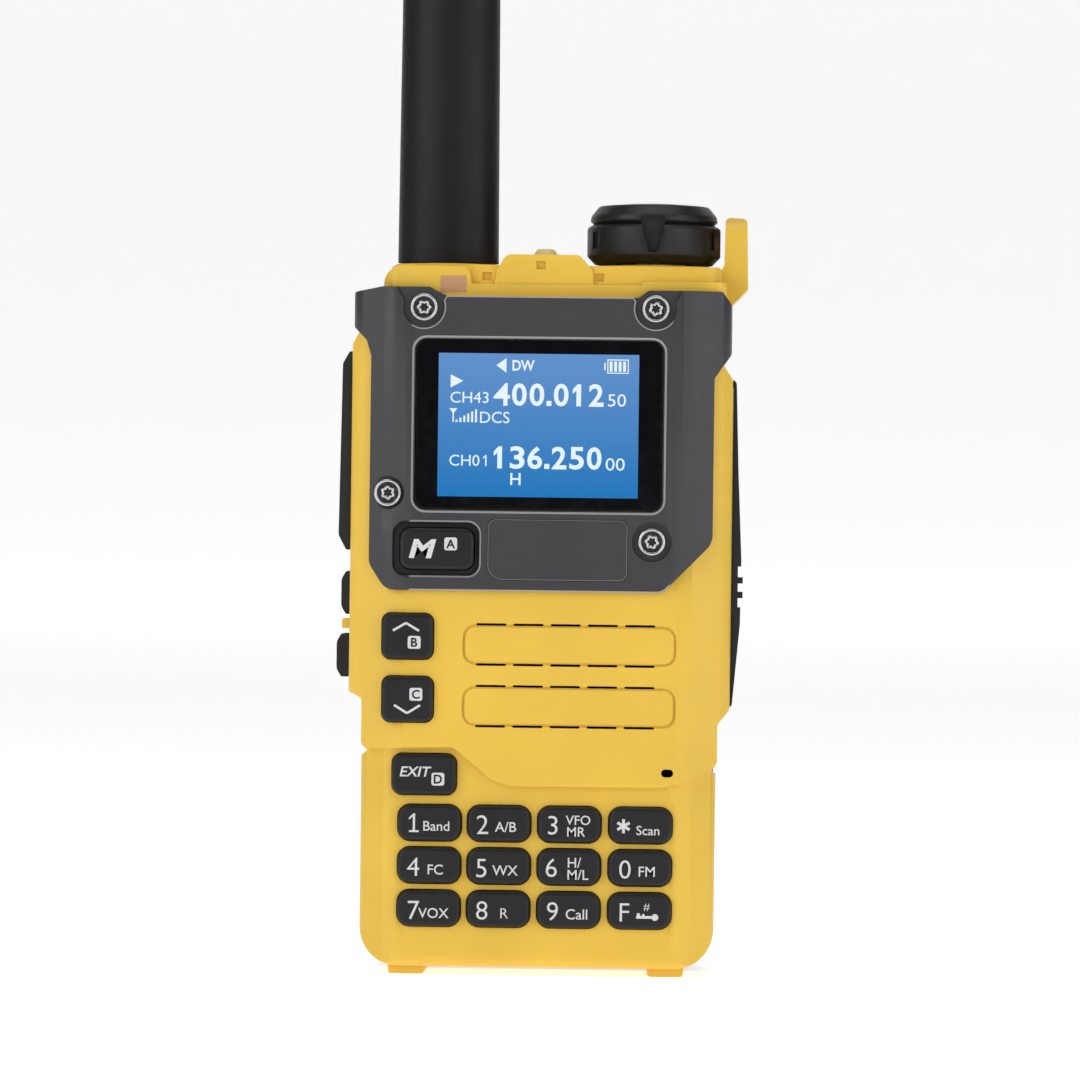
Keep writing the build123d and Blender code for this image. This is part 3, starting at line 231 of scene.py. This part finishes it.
MATERIALS = {
    "case_yellow": moulded("yellow_plastic", YELLOW, 0.42, wear=0.05, specular=0.4),
    "bezel_grey": edge_lit("grey_plastic", GREY, LIT_EDGE, 0.38, BEZEL_BEVEL, 19.6),
    "chassis_black": moulded("chassis_plastic", (0.012, 0.012, 0.013), 0.5, specular=0.35),
    "screw_black": metal("black_steel", (0.05, 0.05, 0.052), 0.35),
    "screw_chrome": metal("bright_steel", (0.62, 0.62, 0.63), 0.22),
    "lens_glass": moulded(
        "lens_border", (0.003, 0.003, 0.004), 0.08, grain_depth=0.0, specular=0.2
    ),
    "lcd": moulded("display_frame", BLACK, 0.3),
    "inner_plastic": moulded("inner_plastic", (0.010, 0.010, 0.010), 0.5, specular=0.2),
    "mat_rubber": moulded("mat_rubber", (0.014, 0.014, 0.014), 0.6, specular=0.2),
    "spring_steel": metal("spring_steel", (0.62, 0.62, 0.62), 0.3),
    "circuit_board": moulded("solder_mask", (0.012, 0.09, 0.035), 0.35),
    "inner_steel": metal("pressed_steel", (0.5, 0.5, 0.5), 0.35),
    "speaker_paper": moulded("speaker_paper", (0.012, 0.012, 0.012), 0.8, specular=0.1),
    "brass_plated": metal("gold_plate", (0.85, 0.62, 0.28), 0.25),
    "torch_clear": clear("torch_lens", (0.93, 0.80, 0.38), 0.08, 0.3),
    "status_amber": clear("status_window", (0.62, 0.33, 0.17), 0.35, 0.15),
    "clip_black": moulded("clip_plastic", (0.013, 0.013, 0.014), 0.46, grain=1800, specular=0.35),
    "side_rubber": moulded("side_rubber", (0.012, 0.013, 0.013), 0.55, grain=3500, specular=0.3),
    "knob_black": moulded("knob_plastic", BLACK, 0.42, grain=3500, specular=0.35),
    "antenna_rubber": moulded("antenna_rubber", BLACK, 0.42, grain=3000, specular=0.2),
    "antenna_core": moulded("antenna_core", (0.6, 0.6, 0.55), 0.5),
    "battery_black": moulded(
        "battery_plastic", (0.012, 0.012, 0.013), 0.48, grain=1500, grain_depth=0.00004, specular=0.35
    ),
    "cell_foil": metal("cell_foil", (0.7, 0.7, 0.72), 0.4),
    "key_black": moulded("key_plastic", (0.010, 0.010, 0.012), 0.36, grain=4000, specular=0.3),
}
# the name plate's bevels get the same painted highlight
PLATE = edge_lit("name_plate_plastic", GREY, LIT_EDGE, 0.36, PLATE_BEVEL, 20.0)
LEGEND = moulded(
    "legend_print", (0.60, 0.60, 0.60), 0.5, grain_depth=0.0, wear=0.03, specular=0.2
)
GLYPH = glowing("display_glyph", (0.74, 0.90, 1.0), (0.82, 0.90, 1.0), 0.071, 0.093, 1.0)
BACKLIGHT = glowing(
    "display_backlight", (0.006, 0.175, 0.490), (0.110, 0.275, 0.590), 0.0720, 0.0925, 1.0
)


# ---------------------------------------------------------------- mesh tools

WELD_REACH = 0.002 * MM


def soften(obj, width, angle=35.0, segments=2):
    """Rounds a moulded part's sharp edges by a small radius."""
    weld = obj.modifiers.new("weld", "WELD")
    weld.merge_threshold = WELD_REACH
    bevel = obj.modifiers.new("edge", "BEVEL")
    bevel.width = width
    bevel.segments = segments
    bevel.limit_method = "ANGLE"
    bevel.angle_limit = math.radians(angle)
    bevel.harden_normals = False
    bevel.use_clamp_overlap = True


def add_object(name, mesh, material, body):
    """Links a finished mesh as a piece that rides on a body."""
    obj = bpy.data.objects.new(name, mesh)
    bpy.context.scene.collection.objects.link(obj)
    obj.data.materials.append(material)
    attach(obj, body)
    return obj


def text_mesh(text, height, bold=0.0, slant=0.0, width=None):
    """Letters as one flat mesh, centred on the origin and facing -Y, of a given cap height."""
    curve = bpy.data.curves.new("letters", "FONT")
    curve.body = text
    curve.size = 1.0
    curve.offset = bold
    curve.shear = slant
    curve.extrude = 0.5
    curve.resolution_u = 4
    obj = bpy.data.objects.new("letters", curve)
    bpy.context.scene.collection.objects.link(obj)
    bpy.context.view_layer.update()
    depsgraph = bpy.context.evaluated_depsgraph_get()
    mesh = bpy.data.meshes.new_from_object(obj.evaluated_get(depsgraph))
    bpy.data.objects.remove(obj)
    bpy.data.curves.remove(curve)
    xs = [v.co.x for v in mesh.vertices]
    ys = [v.co.y for v in mesh.vertices]
    cap = max(ys) - min(ys)
    scale = height / cap
    across = width / (max(xs) - min(xs)) if width else scale
    centre_x, centre_y = (max(xs) + min(xs)) / 2, (max(ys) + min(ys)) / 2
    for vertex in mesh.vertices:
        x, y, z = vertex.co
        vertex.co = ((x - centre_x) * across, -z * PRINT_THICKNESS, (y - centre_y) * scale)
    return mesh


def flat_shape(points, thickness=PRINT_THICKNESS):
    """A flat polygon facing -Y, from (x, z) points, as a thin closed solid."""
    made = bmesh.new()
    front = [made.verts.new((x, -thickness / 2, z)) for x, z in points]
    back = [made.verts.new((x, thickness / 2, z)) for x, z in points]
    made.faces.new(front)
    made.faces.new(list(reversed(back)))
    count = len(points)
    for index in range(count):
        after = (index + 1) % count
        made.faces.new((front[after], front[index], back[index], back[after]))
    return finished(made, "shape")


def rounded_points(width, height, radius, steps=6):
    """Points round a rounded rectangle centred on the origin."""
    points = []
    corners = ((1, 1, 0), (-1, 1, 90), (-1, -1, 180), (1, -1, 270))
    for side, end, start in corners:
        for step in range(steps + 1):
            angle = math.radians(start + 90 * step / steps)
            x = side * (width / 2 - radius) + radius * math.cos(angle)
            z = end * (height / 2 - radius) + radius * math.sin(angle)
            points.append((x, z))
    return points


def scaled_to_metres(points):
    """Points given in millimetres, in metres."""
    return [(x * MM, z * MM) for x, z in points]


def rectangle(left, right, bottom, top):
    """Corners of an upright rectangle."""
    return [(left, top), (right, top), (right, bottom), (left, bottom)]


def finished(made, name):
    """A named mesh from a mesh in the making, with its faces turned outwards."""
    bmesh.ops.recalc_face_normals(made, faces=made.faces)
    mesh = bpy.data.meshes.new(name)
    made.to_mesh(mesh)
    made.free()
    return mesh


def stroke(start, end, width):
    """Points of a straight stroke between two points."""
    a, b = Vector(start), Vector(end)
    along = (b - a).normalized()
    side = Vector((-along.y, along.x)) * width / 2
    return [tuple(a + side), tuple(a - side), tuple(b - side), tuple(b + side)]


def join_meshes(meshes):
    """One mesh made of several, each with its own (x, y, z) offset."""
    made = bmesh.new()
    for mesh, offset in meshes:
        copy = mesh.copy()
        copy.transform(Matrix.Translation(offset))
        made.from_mesh(copy)
        bpy.data.meshes.remove(copy)
    result = bpy.data.meshes.new("joined")
    made.to_mesh(result)
    made.free()
    return result


# ---------------------------------------------------------------- CAD materials

def dress_cad_nodes():
    """Gives every CAD node its procedural material and softens its moulded edges."""
    slots = {part["node"]: part["material_slot"] for part in frame["record"]["subparts"]}
    for name, obj in nodes.items():
        material = MATERIALS[slots[name]]
        obj.data.materials.clear()
        obj.data.materials.append(material)
    nodes["name_plate"].data.materials[0] = PLATE
    for name in ("front_case", "front_bezel", "knob_cap", "knob_grip", "ptt_button", "jack_cover"):
        soften(nodes[name], 0.22 * MM)
    for name in ("battery_case", "chassis", "clip_lever", "clip_bracket", "battery_latch"):
        soften(nodes[name], 0.25 * MM)


# ---------------------------------------------------------------- front screws

SCREW_POINTS = 72
SCREW_HEAD_HEIGHT = 0.8 * MM
SCREW_HEAD_REACH = 4.6 * MM  # more than a head's width, less than the gap between two screws
SCREW_TURN = math.radians(17)  # each screw stops this much further round than the last

# Rings of a screw's head, from its rim inwards: radius, height above the seat and lobe
# depth, in mm, and whether the band from this ring to the next is bright; the bands that
# aren't, in the groove and the drive, are dark steel as painted shade
SCREW_RINGS = (
    (2.05, 0.0, 0.0, True),
    (2.05, 0.60, 0.0, True),
    (2.00, 0.73, 0.0, True),
    (1.90, 0.80, 0.0, True),
    (1.70, 0.80, 0.0, True),
    (1.62, 0.74, 0.0, False),
    (1.54, 0.34, 0.0, False),
    (1.08, 0.30, 0.10, True),
    (1.00, 0.58, 0.12, True),
    (0.90, 0.66, 0.12, True),
    (0.60, 0.62, 0.12, False),
    (0.48, 0.25, 0.10, False),
)


def clusters(obj, reach):
    """Boxes of the separate solids in a node, from points that lie near each other."""
    groups = []
    for vertex in obj.data.vertices:
        for group in groups:
            if (vertex.co.xz - group[0].xz).length < reach:
                group.append(vertex.co)
                break
        else:
            groups.append([vertex.co])
    boxes = []
    for group in groups:
        low = Vector(min(point[axis] for point in group) for axis in range(3))
        high = Vector(max(point[axis] for point in group) for axis in range(3))
        boxes.append((low, high))
    return boxes


def screw_head(made, centre, seat, turn):
    """Adds one domed screw head with a six-lobed drive to a mesh in the making."""
    rings = []
    for radius, rise, lobe, _ in SCREW_RINGS:
        ring = []
        for index in range(SCREW_POINTS):
            angle = 2 * math.pi * index / SCREW_POINTS
            reach = (radius + lobe * math.cos(6 * angle)) * MM
            x = centre[0] + reach * math.cos(angle + turn)
            z = centre[1] + reach * math.sin(angle + turn)
            ring.append(made.verts.new((x, seat - rise * MM, z)))
        rings.append(ring)
    for step in range(len(rings) - 1):
        painted_shade_band = not SCREW_RINGS[step][3]
        outer, inner = rings[step], rings[step + 1]
        for index in range(SCREW_POINTS):
            after = (index + 1) % SCREW_POINTS
            face = made.faces.new((outer[index], outer[after], inner[after], inner[index]))
            face.material_index = int(painted_shade_band)
            face.smooth = True
    # the drive's floor is dark steel, painted shade
    socket = made.faces.new(rings[-1])
    socket.material_index = 1
    base = made.faces.new(list(reversed(rings[0])))
    base.material_index = 1


def front_screws():
    """The four bezel screws, with their bright rims and six-lobed drives; groove and drive are dark
    steel, painted shade.
    """
    made = bmesh.new()
    for number, (low, high) in enumerate(clusters(nodes["bezel_screws"], SCREW_HEAD_REACH)):
        centre = ((low.x + high.x) / 2, (low.z + high.z) / 2)
        screw_head(made, centre, low.y + SCREW_HEAD_HEIGHT, SCREW_TURN * number)
    mesh = finished(made, "bezel_screw_heads")
    chrome = MATERIALS["screw_chrome"]
    heads = add_object("bezel_screw_heads", mesh, chrome, "radio")
    # second slot: dark steel for the groove and drive, painted shade
    heads.data.materials.append(MATERIALS["screw_black"])
    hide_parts("bezel_screws")


MENU_KEY_WIDTH = 11.1
MENU_KEY_HEIGHT = 6.2
WELL_DEPTH = 1.6  # of the bezel's well round the menu key, behind the front plane
WELL_SHIFT = -0.15  # from the key's centre to the lip's, along X


def menu_key_skirt():
    """Dark rubber lip of the key mat, lying in the bezel's well round the menu key; its dark also
    stands in for the shade in the well, as painted shade.
    """
    low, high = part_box("key_menu")
    centre_x, centre_z = (low.x + high.x) / 2, (low.z + high.z) / 2
    width, height = MENU_KEY_WIDTH, MENU_KEY_HEIGHT
    outer = rounded_points(width + 1.75, height + 1.65, 1.75, 8)
    outer = [(x + WELL_SHIFT, z) for x, z in outer]
    inner = rounded_points(width + 0.24, height + 0.24, 1.7, 8)
    made = bmesh.new()
    loops = []
    for points, rise in ((outer, 0.0), (outer, 0.25), (inner, 0.35), (inner, 0.0)):
        depth = FRONT_PLANE + (WELL_DEPTH - rise) * MM
        places = scaled_to_metres(points)
        loops.append([made.verts.new((centre_x + x, depth, centre_z + z)) for x, z in places])
    for step, first in enumerate(loops):
        second = loops[(step + 1) % len(loops)]
        for index in range(len(first)):
            after = (index + 1) % len(first)
            made.faces.new((first[index], first[after], second[after], second[index]))
    mesh = finished(made, "menu_key_skirt")
    add_object("menu_key_skirt", mesh, MATERIALS["mat_rubber"], "radio")


# ---------------------------------------------------------------- legends

# For each number key: text, right of centre, above centre and cap height, in mm
NUMBER_LEGENDS = {
    "key_1": [("1", -2.3, 0.0, 2.8), ("Band", 1.05, -0.45, 1.45)],
    "key_2": [("2", -2.45, -0.15, 2.8), ("A/B", 1.0, -0.45, 1.5)],
    "key_3": [("3", -2.45, -0.1, 2.8), ("VFO", 1.3, 0.7, 1.4), ("MR", 1.05, -1.05, 1.4)],
    "key_star": [("Scan", 1.15, -0.7, 1.4)],
    "key_4": [("4", -2.35, -0.2, 2.75), ("FC", 0.97, -0.6, 1.5)],
    "key_5": [("5", -2.55, -0.3, 2.75), ("WX", 1.0, -0.6, 1.5)],
    "key_6": [("6", -2.6, -0.1, 2.75), ("H/", 0.85, 0.7, 1.5), ("M/L", 1.4, -1.1, 1.5)],
    "key_0": [("0", -2.2, -0.2, 2.75), ("FM", 1.05, -0.5, 1.5)],
    "key_7": [("7", -2.2, -0.3, 2.75), ("VOX", 0.77, -0.7, 1.5)],
    "key_8": [("8", -2.4, -0.2, 2.75), ("R", 0.95, -0.6, 1.5)],
    "key_9": [("9", -2.35, -0.2, 2.75), ("Call", 1.25, -0.6, 1.55)],
    "key_function": [("F", -2.2, -0.2, 2.7), ("#", 1.1, 0.6, 1.1)],
}


def numeral_one(height, stem, foot):
    """The figure 1 with a flag, and with a foot where its half width isn't 0."""
    half, top = stem / 2, height / 2
    flag_x, flag_z = -0.27 * height, 0.27 * height
    points = [(half, top), (-half * 0.5, top), (flag_x, flag_z), (flag_x, flag_z - stem)]
    points.append((-half, top - stem * 1.35))
    if foot:
        points += [(-half, stem * 0.85 - top), (-foot, stem * 0.85 - top), (-foot, -top)]
        points += [(foot, -top), (foot, stem * 0.85 - top), (half, stem * 0.85 - top)]
    else:
        points += [(-half, -top), (half, -top)]
    return flat_shape(points)


def key_face(name):
    """Centre of a key's front face."""
    low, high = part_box(name)
    return Vector(((low.x + high.x) / 2, low.y, (low.z + high.z) / 2))


def asterisk(size, width):
    """A six-armed star as three crossed strokes."""
    strokes = []
    for index in range(3):
        angle = math.radians(90 + 60 * index)
        arm = Vector((math.cos(angle), math.sin(angle))) * size / 2
        bar = flat_shape(stroke(-arm, arm, width), PRINT_THICKNESS + LAYER_STEP * index)
        strokes.append((bar, (0, 0, 0)))
    return join_meshes(strokes)


def key_icon():
    """A small key lying on its side, ring to the right."""
    ring = rounded_points(1.0 * MM, 1.0 * MM, 0.49 * MM)
    shaft = rectangle(-1.7, 0.6, -0.2, 0.2)
    tooth_one = rectangle(-1.6, -1.15, 0.1, 0.6)
    tooth_two = rectangle(-0.8, -0.45, 0.1, 0.5)
    shapes = [(flat_shape(ring), (1.1 * MM, 0, 0))]
    for layer, points in enumerate((shaft, tooth_one, tooth_two), start=1):
        thickness = PRINT_THICKNESS + LAYER_STEP * layer
        shapes.append((flat_shape(scaled_to_metres(points), thickness), (0, 0, 0)))
    return join_meshes(shapes)


FIGURE_BOLD = -0.006
LABEL_BOLD = 0.004


def number_legends():
    """White printing on the twelve number keys."""
    for name, marks in NUMBER_LEGENDS.items():
        face = key_face(name)
        parts = []
        for text, right, up, height in marks:
            if text == "1":
                mark = numeral_one(height * MM, 0.33 * MM, 0.72 * MM)
            else:
                bold = LABEL_BOLD if len(text) > 1 else FIGURE_BOLD
                mark = text_mesh(text, height * MM, bold)
            parts.append((mark, (right * MM, 0, up * MM)))
        if name == "key_star":
            parts.append((asterisk(2.1 * MM, 0.42 * MM), (-2.5 * MM, 0, -0.1 * MM)))
        if name == "key_function":
            parts.append((key_icon(), (1.25 * MM, 0, -0.9 * MM)))
        mesh = join_meshes(parts)
        mesh.transform(Matrix.Translation(face))
        add_object("legend_" + name, mesh, LEGEND, name)


def letter_tile(letter, size):
    """A white rounded tile with a dark letter on it, as two meshes."""
    tile = flat_shape(rounded_points(size, size, size * 0.18))
    mark = text_mesh(letter, size * 0.70, 0.022)
    return tile, mark


# For each function key: its tile's letter, right of centre and above centre, in mm
TILES = {
    "key_menu": ("A", 2.05, 0.75),
    "key_up": ("B", 1.05, -0.9),
    "key_down": ("C", 1.3, 0.75),
    "key_exit": ("D", 2.1, -0.7),
}
TILE_SIZE = 1.92 * MM

# Words on the function keys: text, cap height, boldness, slant, width, right, above
WORDS = {
    "key_menu": ("M", 2.85, 0.035, 0.22, 4.1, -2.15, 0.0),
    "key_exit": ("EXIT", 1.5, 0.015, 0.2, 4.75, -1.25, 0.4),
}

# Arrow heads on the function keys: right of centre, above centre, rise of the tip, in mm
ARROWS = {
    "key_up": (-0.2, 0.83, 1.15),
    "key_down": (0.0, -0.87, -1.2),
}
ARROW_HALF_WIDTH = 1.95
ARROW_STROKE = 0.34 * MM


def word_mark(name):
    """The word on a function key, with its place."""
    text, height, bold, slant, width, right, above = WORDS[name]
    mesh = text_mesh(text, height * MM, bold, slant, width * MM)
    return mesh, (right * MM, 0, above * MM)


def arrow_marks(name):
    """The two strokes of the arrow head on a function key, with their places."""
    right, above, rise = ARROWS[name]
    left_end, tip, right_end = (-ARROW_HALF_WIDTH, 0.0), (0.0, rise), (ARROW_HALF_WIDTH, 0.0)
    marks = []
    for index, ends in enumerate(((left_end, tip), (tip, right_end))):
        points = stroke(*scaled_to_metres(ends), ARROW_STROKE)
        bar = flat_shape(points, PRINT_THICKNESS + LAYER_STEP * index)
        marks.append((bar, (right * MM, 0, above * MM)))
    return marks


def function_legends():
    """White printing on the menu, up, down and exit keys, with their letter tiles."""
    for name, (letter, right, above) in TILES.items():
        face = key_face(name)
        parts = []
        if name in WORDS:
            parts.append(word_mark(name))
        if name in ARROWS:
            parts += arrow_marks(name)
        tile, mark = letter_tile(letter, TILE_SIZE)
        parts.append((tile, (right * MM, 0, above * MM)))
        mesh = join_meshes(parts)
        mesh.transform(Matrix.Translation(face))
        add_object("legend_" + name, mesh, LEGEND, name)
        in_front = Vector((right * MM, -PRINT_THICKNESS, above * MM))
        mark.transform(Matrix.Translation(face + in_front))
        add_object("letter_" + name, mark, MATERIALS["key_black"], name)


# ---------------------------------------------------------------- display

SCREEN_SHIFT = -0.1 * MM
SCREEN_WIDTH = 29.9 * MM
SCREEN_HEIGHT = 21.4 * MM
SCREEN_RISE = 82.25 * MM
SCREEN_THICKNESS = 0.04 * MM
SIGN_STEP = 0.0005 * MM  # as LAYER_STEP, for the display's many signs

# Small texts on the display: text, right and above the screen's centre, cap height,
# boldness, width or None for the typeface's own
DISPLAY_TEXTS = (
    ("DW", -2.3, 8.94, 1.6, 0.02, 3.3),
    ("CH43", -10.3, 4.1, 1.65, 0.0, 5.7),
    ("50", 11.7, 3.9, 1.85, 0.0, 2.7),
    ("DCS", -6.5, 1.15, 1.7, 0.0, None),
    ("H", -3.3, -8.0, 1.8, 0.01, None),
    ("CH0", -10.95, -5.3, 1.65, 0.0, 4.5),
    ("00", 11.55, -5.65, 1.85, 0.0, 2.85),
)

# Frequency readouts: figures, left edge, height above the screen's centre
READOUTS = (("400.012", -6.8, 4.6), ("136.250", -7.0, -4.8))
FIGURE_STEP = 2.62
POINT_STEP = 1.0


def big_sign(sign):
    """One figure or the point of the large frequency readout."""
    if sign == "1":
        return numeral_one(3.3 * MM, 0.70 * MM, 0.0)
    if sign == ".":
        mesh = flat_shape(rounded_points(0.76 * MM, 0.76 * MM, 0.1 * MM))
        mesh.transform(Matrix.Translation((0, 0, -1.27 * MM)))
        return mesh
    width, bold = (2.45, 0.012) if sign == "4" else (2.2, 0.022)
    return text_mesh(sign, 3.38 * MM, bold, width=width * MM)


def display_texts():
    """The display's small texts and its two frequencies, with their places."""
    parts = []
    for text, right, up, height, bold, width in DISPLAY_TEXTS:
        across = width * MM if width else None
        mesh = text_mesh(text, height * MM, bold, width=across)
        parts.append((mesh, (right * MM, 0, up * MM)))
    channel_one = numeral_one(1.65 * MM, 0.2 * MM, 0.0)
    parts.append((channel_one, (-7.75 * MM, 0, -5.3 * MM)))
    for figures, left, up in READOUTS:
        for sign in figures:
            step = POINT_STEP if sign == "." else FIGURE_STEP
            parts.append((big_sign(sign), ((left + step / 2) * MM, 0, up * MM)))
            left += step
    return parts


def battery_sign():
    """Outlines of the battery sign: a frame of four bars and its terminal."""
    left, right, bottom, top, line = 10.2, 13.4, 7.88, 10.0, 0.15
    return [
        rectangle(left, right, top - line, top),
        rectangle(left, right, bottom, bottom + line),
        rectangle(left, left + line, bottom, top),
        rectangle(right - line, right, bottom, top),
        rectangle(9.75, 9.95, 8.4, 9.5),
    ]


def display_signs():
    """The display's arrows, battery, aerial and signal bars, with their places."""
    dual_watch_arrow = [(-6.35, 8.94), (-4.85, 10.0), (-4.85, 7.85)]
    channel_arrow = [(-13.15, 7.5), (-13.15, 5.55), (-11.25, 6.55)]
    aerial_fan = [(-13.3, 2.45), (-12.1, 2.45), (-12.6, 1.75), (-12.8, 1.75)]
    aerial_mast = rectangle(-12.8, -12.6, 0.4, 1.8)
    signs = [dual_watch_arrow, channel_arrow, *battery_sign(), aerial_fan, aerial_mast]
    for bar in range(4):
        left = 10.55 + 0.67 * bar
        signs.append(rectangle(left, left + 0.42, 8.18, 9.7))
    for bar in range(6):
        left = -12.35 + 0.58 * bar
        signs.append(rectangle(left, left + 0.3, 0.4, 0.75 + 0.31 * bar))
    parts = []
    for index, points in enumerate(signs):
        shape = flat_shape(scaled_to_metres(points), PRINT_THICKNESS + SIGN_STEP * index)
        parts.append((shape, (0, 0, 0)))
    return parts


def display():
    """The lit screen and its figures, lying just on the lens's front face."""
    low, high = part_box("display_lens")
    middle, front = (low.x + high.x) / 2 + SCREEN_SHIFT, low.y
    outline = rounded_points(SCREEN_WIDTH, SCREEN_HEIGHT, 0.1 * MM)
    screen = flat_shape(outline, SCREEN_THICKNESS)
    screen.transform(Matrix.Translation((middle, front - 0.01 * MM, SCREEN_RISE)))
    add_object("display_screen", screen, BACKLIGHT, "radio")
    figures = join_meshes(display_texts() + display_signs())
    figures.transform(Matrix.Translation((middle, front - SCREEN_THICKNESS, SCREEN_RISE)))
    add_object("display_figures", figures, GLYPH, "radio")


# ---------------------------------------------------------------- stage

FLOOR_HALF_WIDTH = 7.0
FLOOR_FRONT = -7.0
BACKDROP_Y = 6.0
BACKDROP_HEIGHT = 7.0
BACKDROP_BEND = 1.5
BACKDROP_STEPS = 12

# Area lights: name, place, target, size, power in watts
LIGHTS = (
    ("key_left", (-0.75, -0.65, 0.50), (0, 0, 0.08), (0.4, 0.8), 3.6),
    ("fill_right", (0.8, -0.6, 0.40), (0, 0, 0.08), (0.4, 0.8), 2.6),
    ("top", (0.0, -0.1, 0.95), (0, 0, 0.1), (0.8, 0.5), 2.9),
    ("strip_left", (-0.45, -0.9, 0.30), (0, 0, 0.08), (0.12, 0.9), 1.2),
    ("strip_right", (0.45, -0.9, 0.30), (0, 0, 0.08), (0.12, 0.9), 1.2),
)

CAMERA_AIM = Vector((0.0, -0.021, 0.0652))
CAMERA_DISTANCE = 1.0
CAMERA_AZIMUTH = math.radians(1.6)
CAMERA_ROLL = math.radians(0.72)
LENS_LENGTH = 223.3


def floor_material():
    """Pale matt floor that glows a little, so that it stays white."""
    material, _, shader = new_material("pale_floor")
    shader.inputs["Base Color"].default_value = (0.9, 0.9, 0.9, 1)
    shader.inputs["Roughness"].default_value = 0.8
    shader.inputs["Emission Color"].default_value = (1, 1, 1, 1)
    shader.inputs["Emission Strength"].default_value = 0.64
    return material


def floor():
    """Pale floor that bends up into a backdrop."""
    profile = [(FLOOR_FRONT, 0.0)]
    bend_start = BACKDROP_Y - BACKDROP_BEND
    for step in range(BACKDROP_STEPS + 1):
        angle = math.radians(90 * step / BACKDROP_STEPS)
        y = bend_start + BACKDROP_BEND * math.sin(angle)
        profile.append((y, BACKDROP_BEND * (1 - math.cos(angle))))
    profile.append((BACKDROP_Y, BACKDROP_HEIGHT))
    made = bmesh.new()
    sides = (-FLOOR_HALF_WIDTH, FLOOR_HALF_WIDTH)
    left, right = ([made.verts.new((x, y, z)) for y, z in profile] for x in sides)
    for index in range(len(profile) - 1):
        made.faces.new((left[index], right[index], right[index + 1], left[index + 1]))
    mesh = bpy.data.meshes.new("floor")
    made.to_mesh(mesh)
    made.free()
    for polygon in mesh.polygons:
        polygon.use_smooth = True
    obj = bpy.data.objects.new("floor", mesh)
    obj.data.materials.append(floor_material())
    bpy.context.scene.collection.objects.link(obj)


def lights():
    """Plain colour handling, a faint even sky and soft area lights."""
    bpy.context.scene.view_settings.view_transform = "Standard"
    world = bpy.data.worlds.new("studio")
    bpy.context.scene.world = world
    world.use_nodes = True
    sky = world.node_tree.nodes["Background"]
    sky.inputs["Color"].default_value = (1, 1, 1, 1)
    sky.inputs["Strength"].default_value = 0.10
    for name, place, target, size, power in LIGHTS:
        light = bpy.data.lights.new(name, "AREA")
        light.shape = "RECTANGLE"
        light.size, light.size_y = size
        light.energy = power
        obj = bpy.data.objects.new(name, light)
        obj.location = place
        direction = Vector(target) - Vector(place)
        obj.rotation_euler = direction.to_track_quat("-Z", "Y").to_euler()
        bpy.context.scene.collection.objects.link(obj)


def camera():
    """Long lens at the height of the radio's middle, a degree or so to its right."""
    offset = Vector((math.sin(CAMERA_AZIMUTH), -math.cos(CAMERA_AZIMUTH), 0.0))
    place = CAMERA_AIM + offset * CAMERA_DISTANCE
    data = bpy.data.cameras.new("camera")
    data.lens = LENS_LENGTH
    data.sensor_width = 36.0
    data.clip_start = 0.05
    data.clip_end = 20.0
    obj = bpy.data.objects.new("camera", data)
    turn = (CAMERA_AIM - place).to_track_quat("-Z", "Y").to_matrix().to_4x4()
    roll = Matrix.Rotation(CAMERA_ROLL, 4, "Z")
    obj.matrix_world = Matrix.Translation(place) @ turn @ roll
    bpy.context.scene.collection.objects.link(obj)
    bpy.context.scene.camera = obj


dress_cad_nodes()
front_screws()
menu_key_skirt()
number_legends()
function_legends()
display()
floor()
lights()
camera()
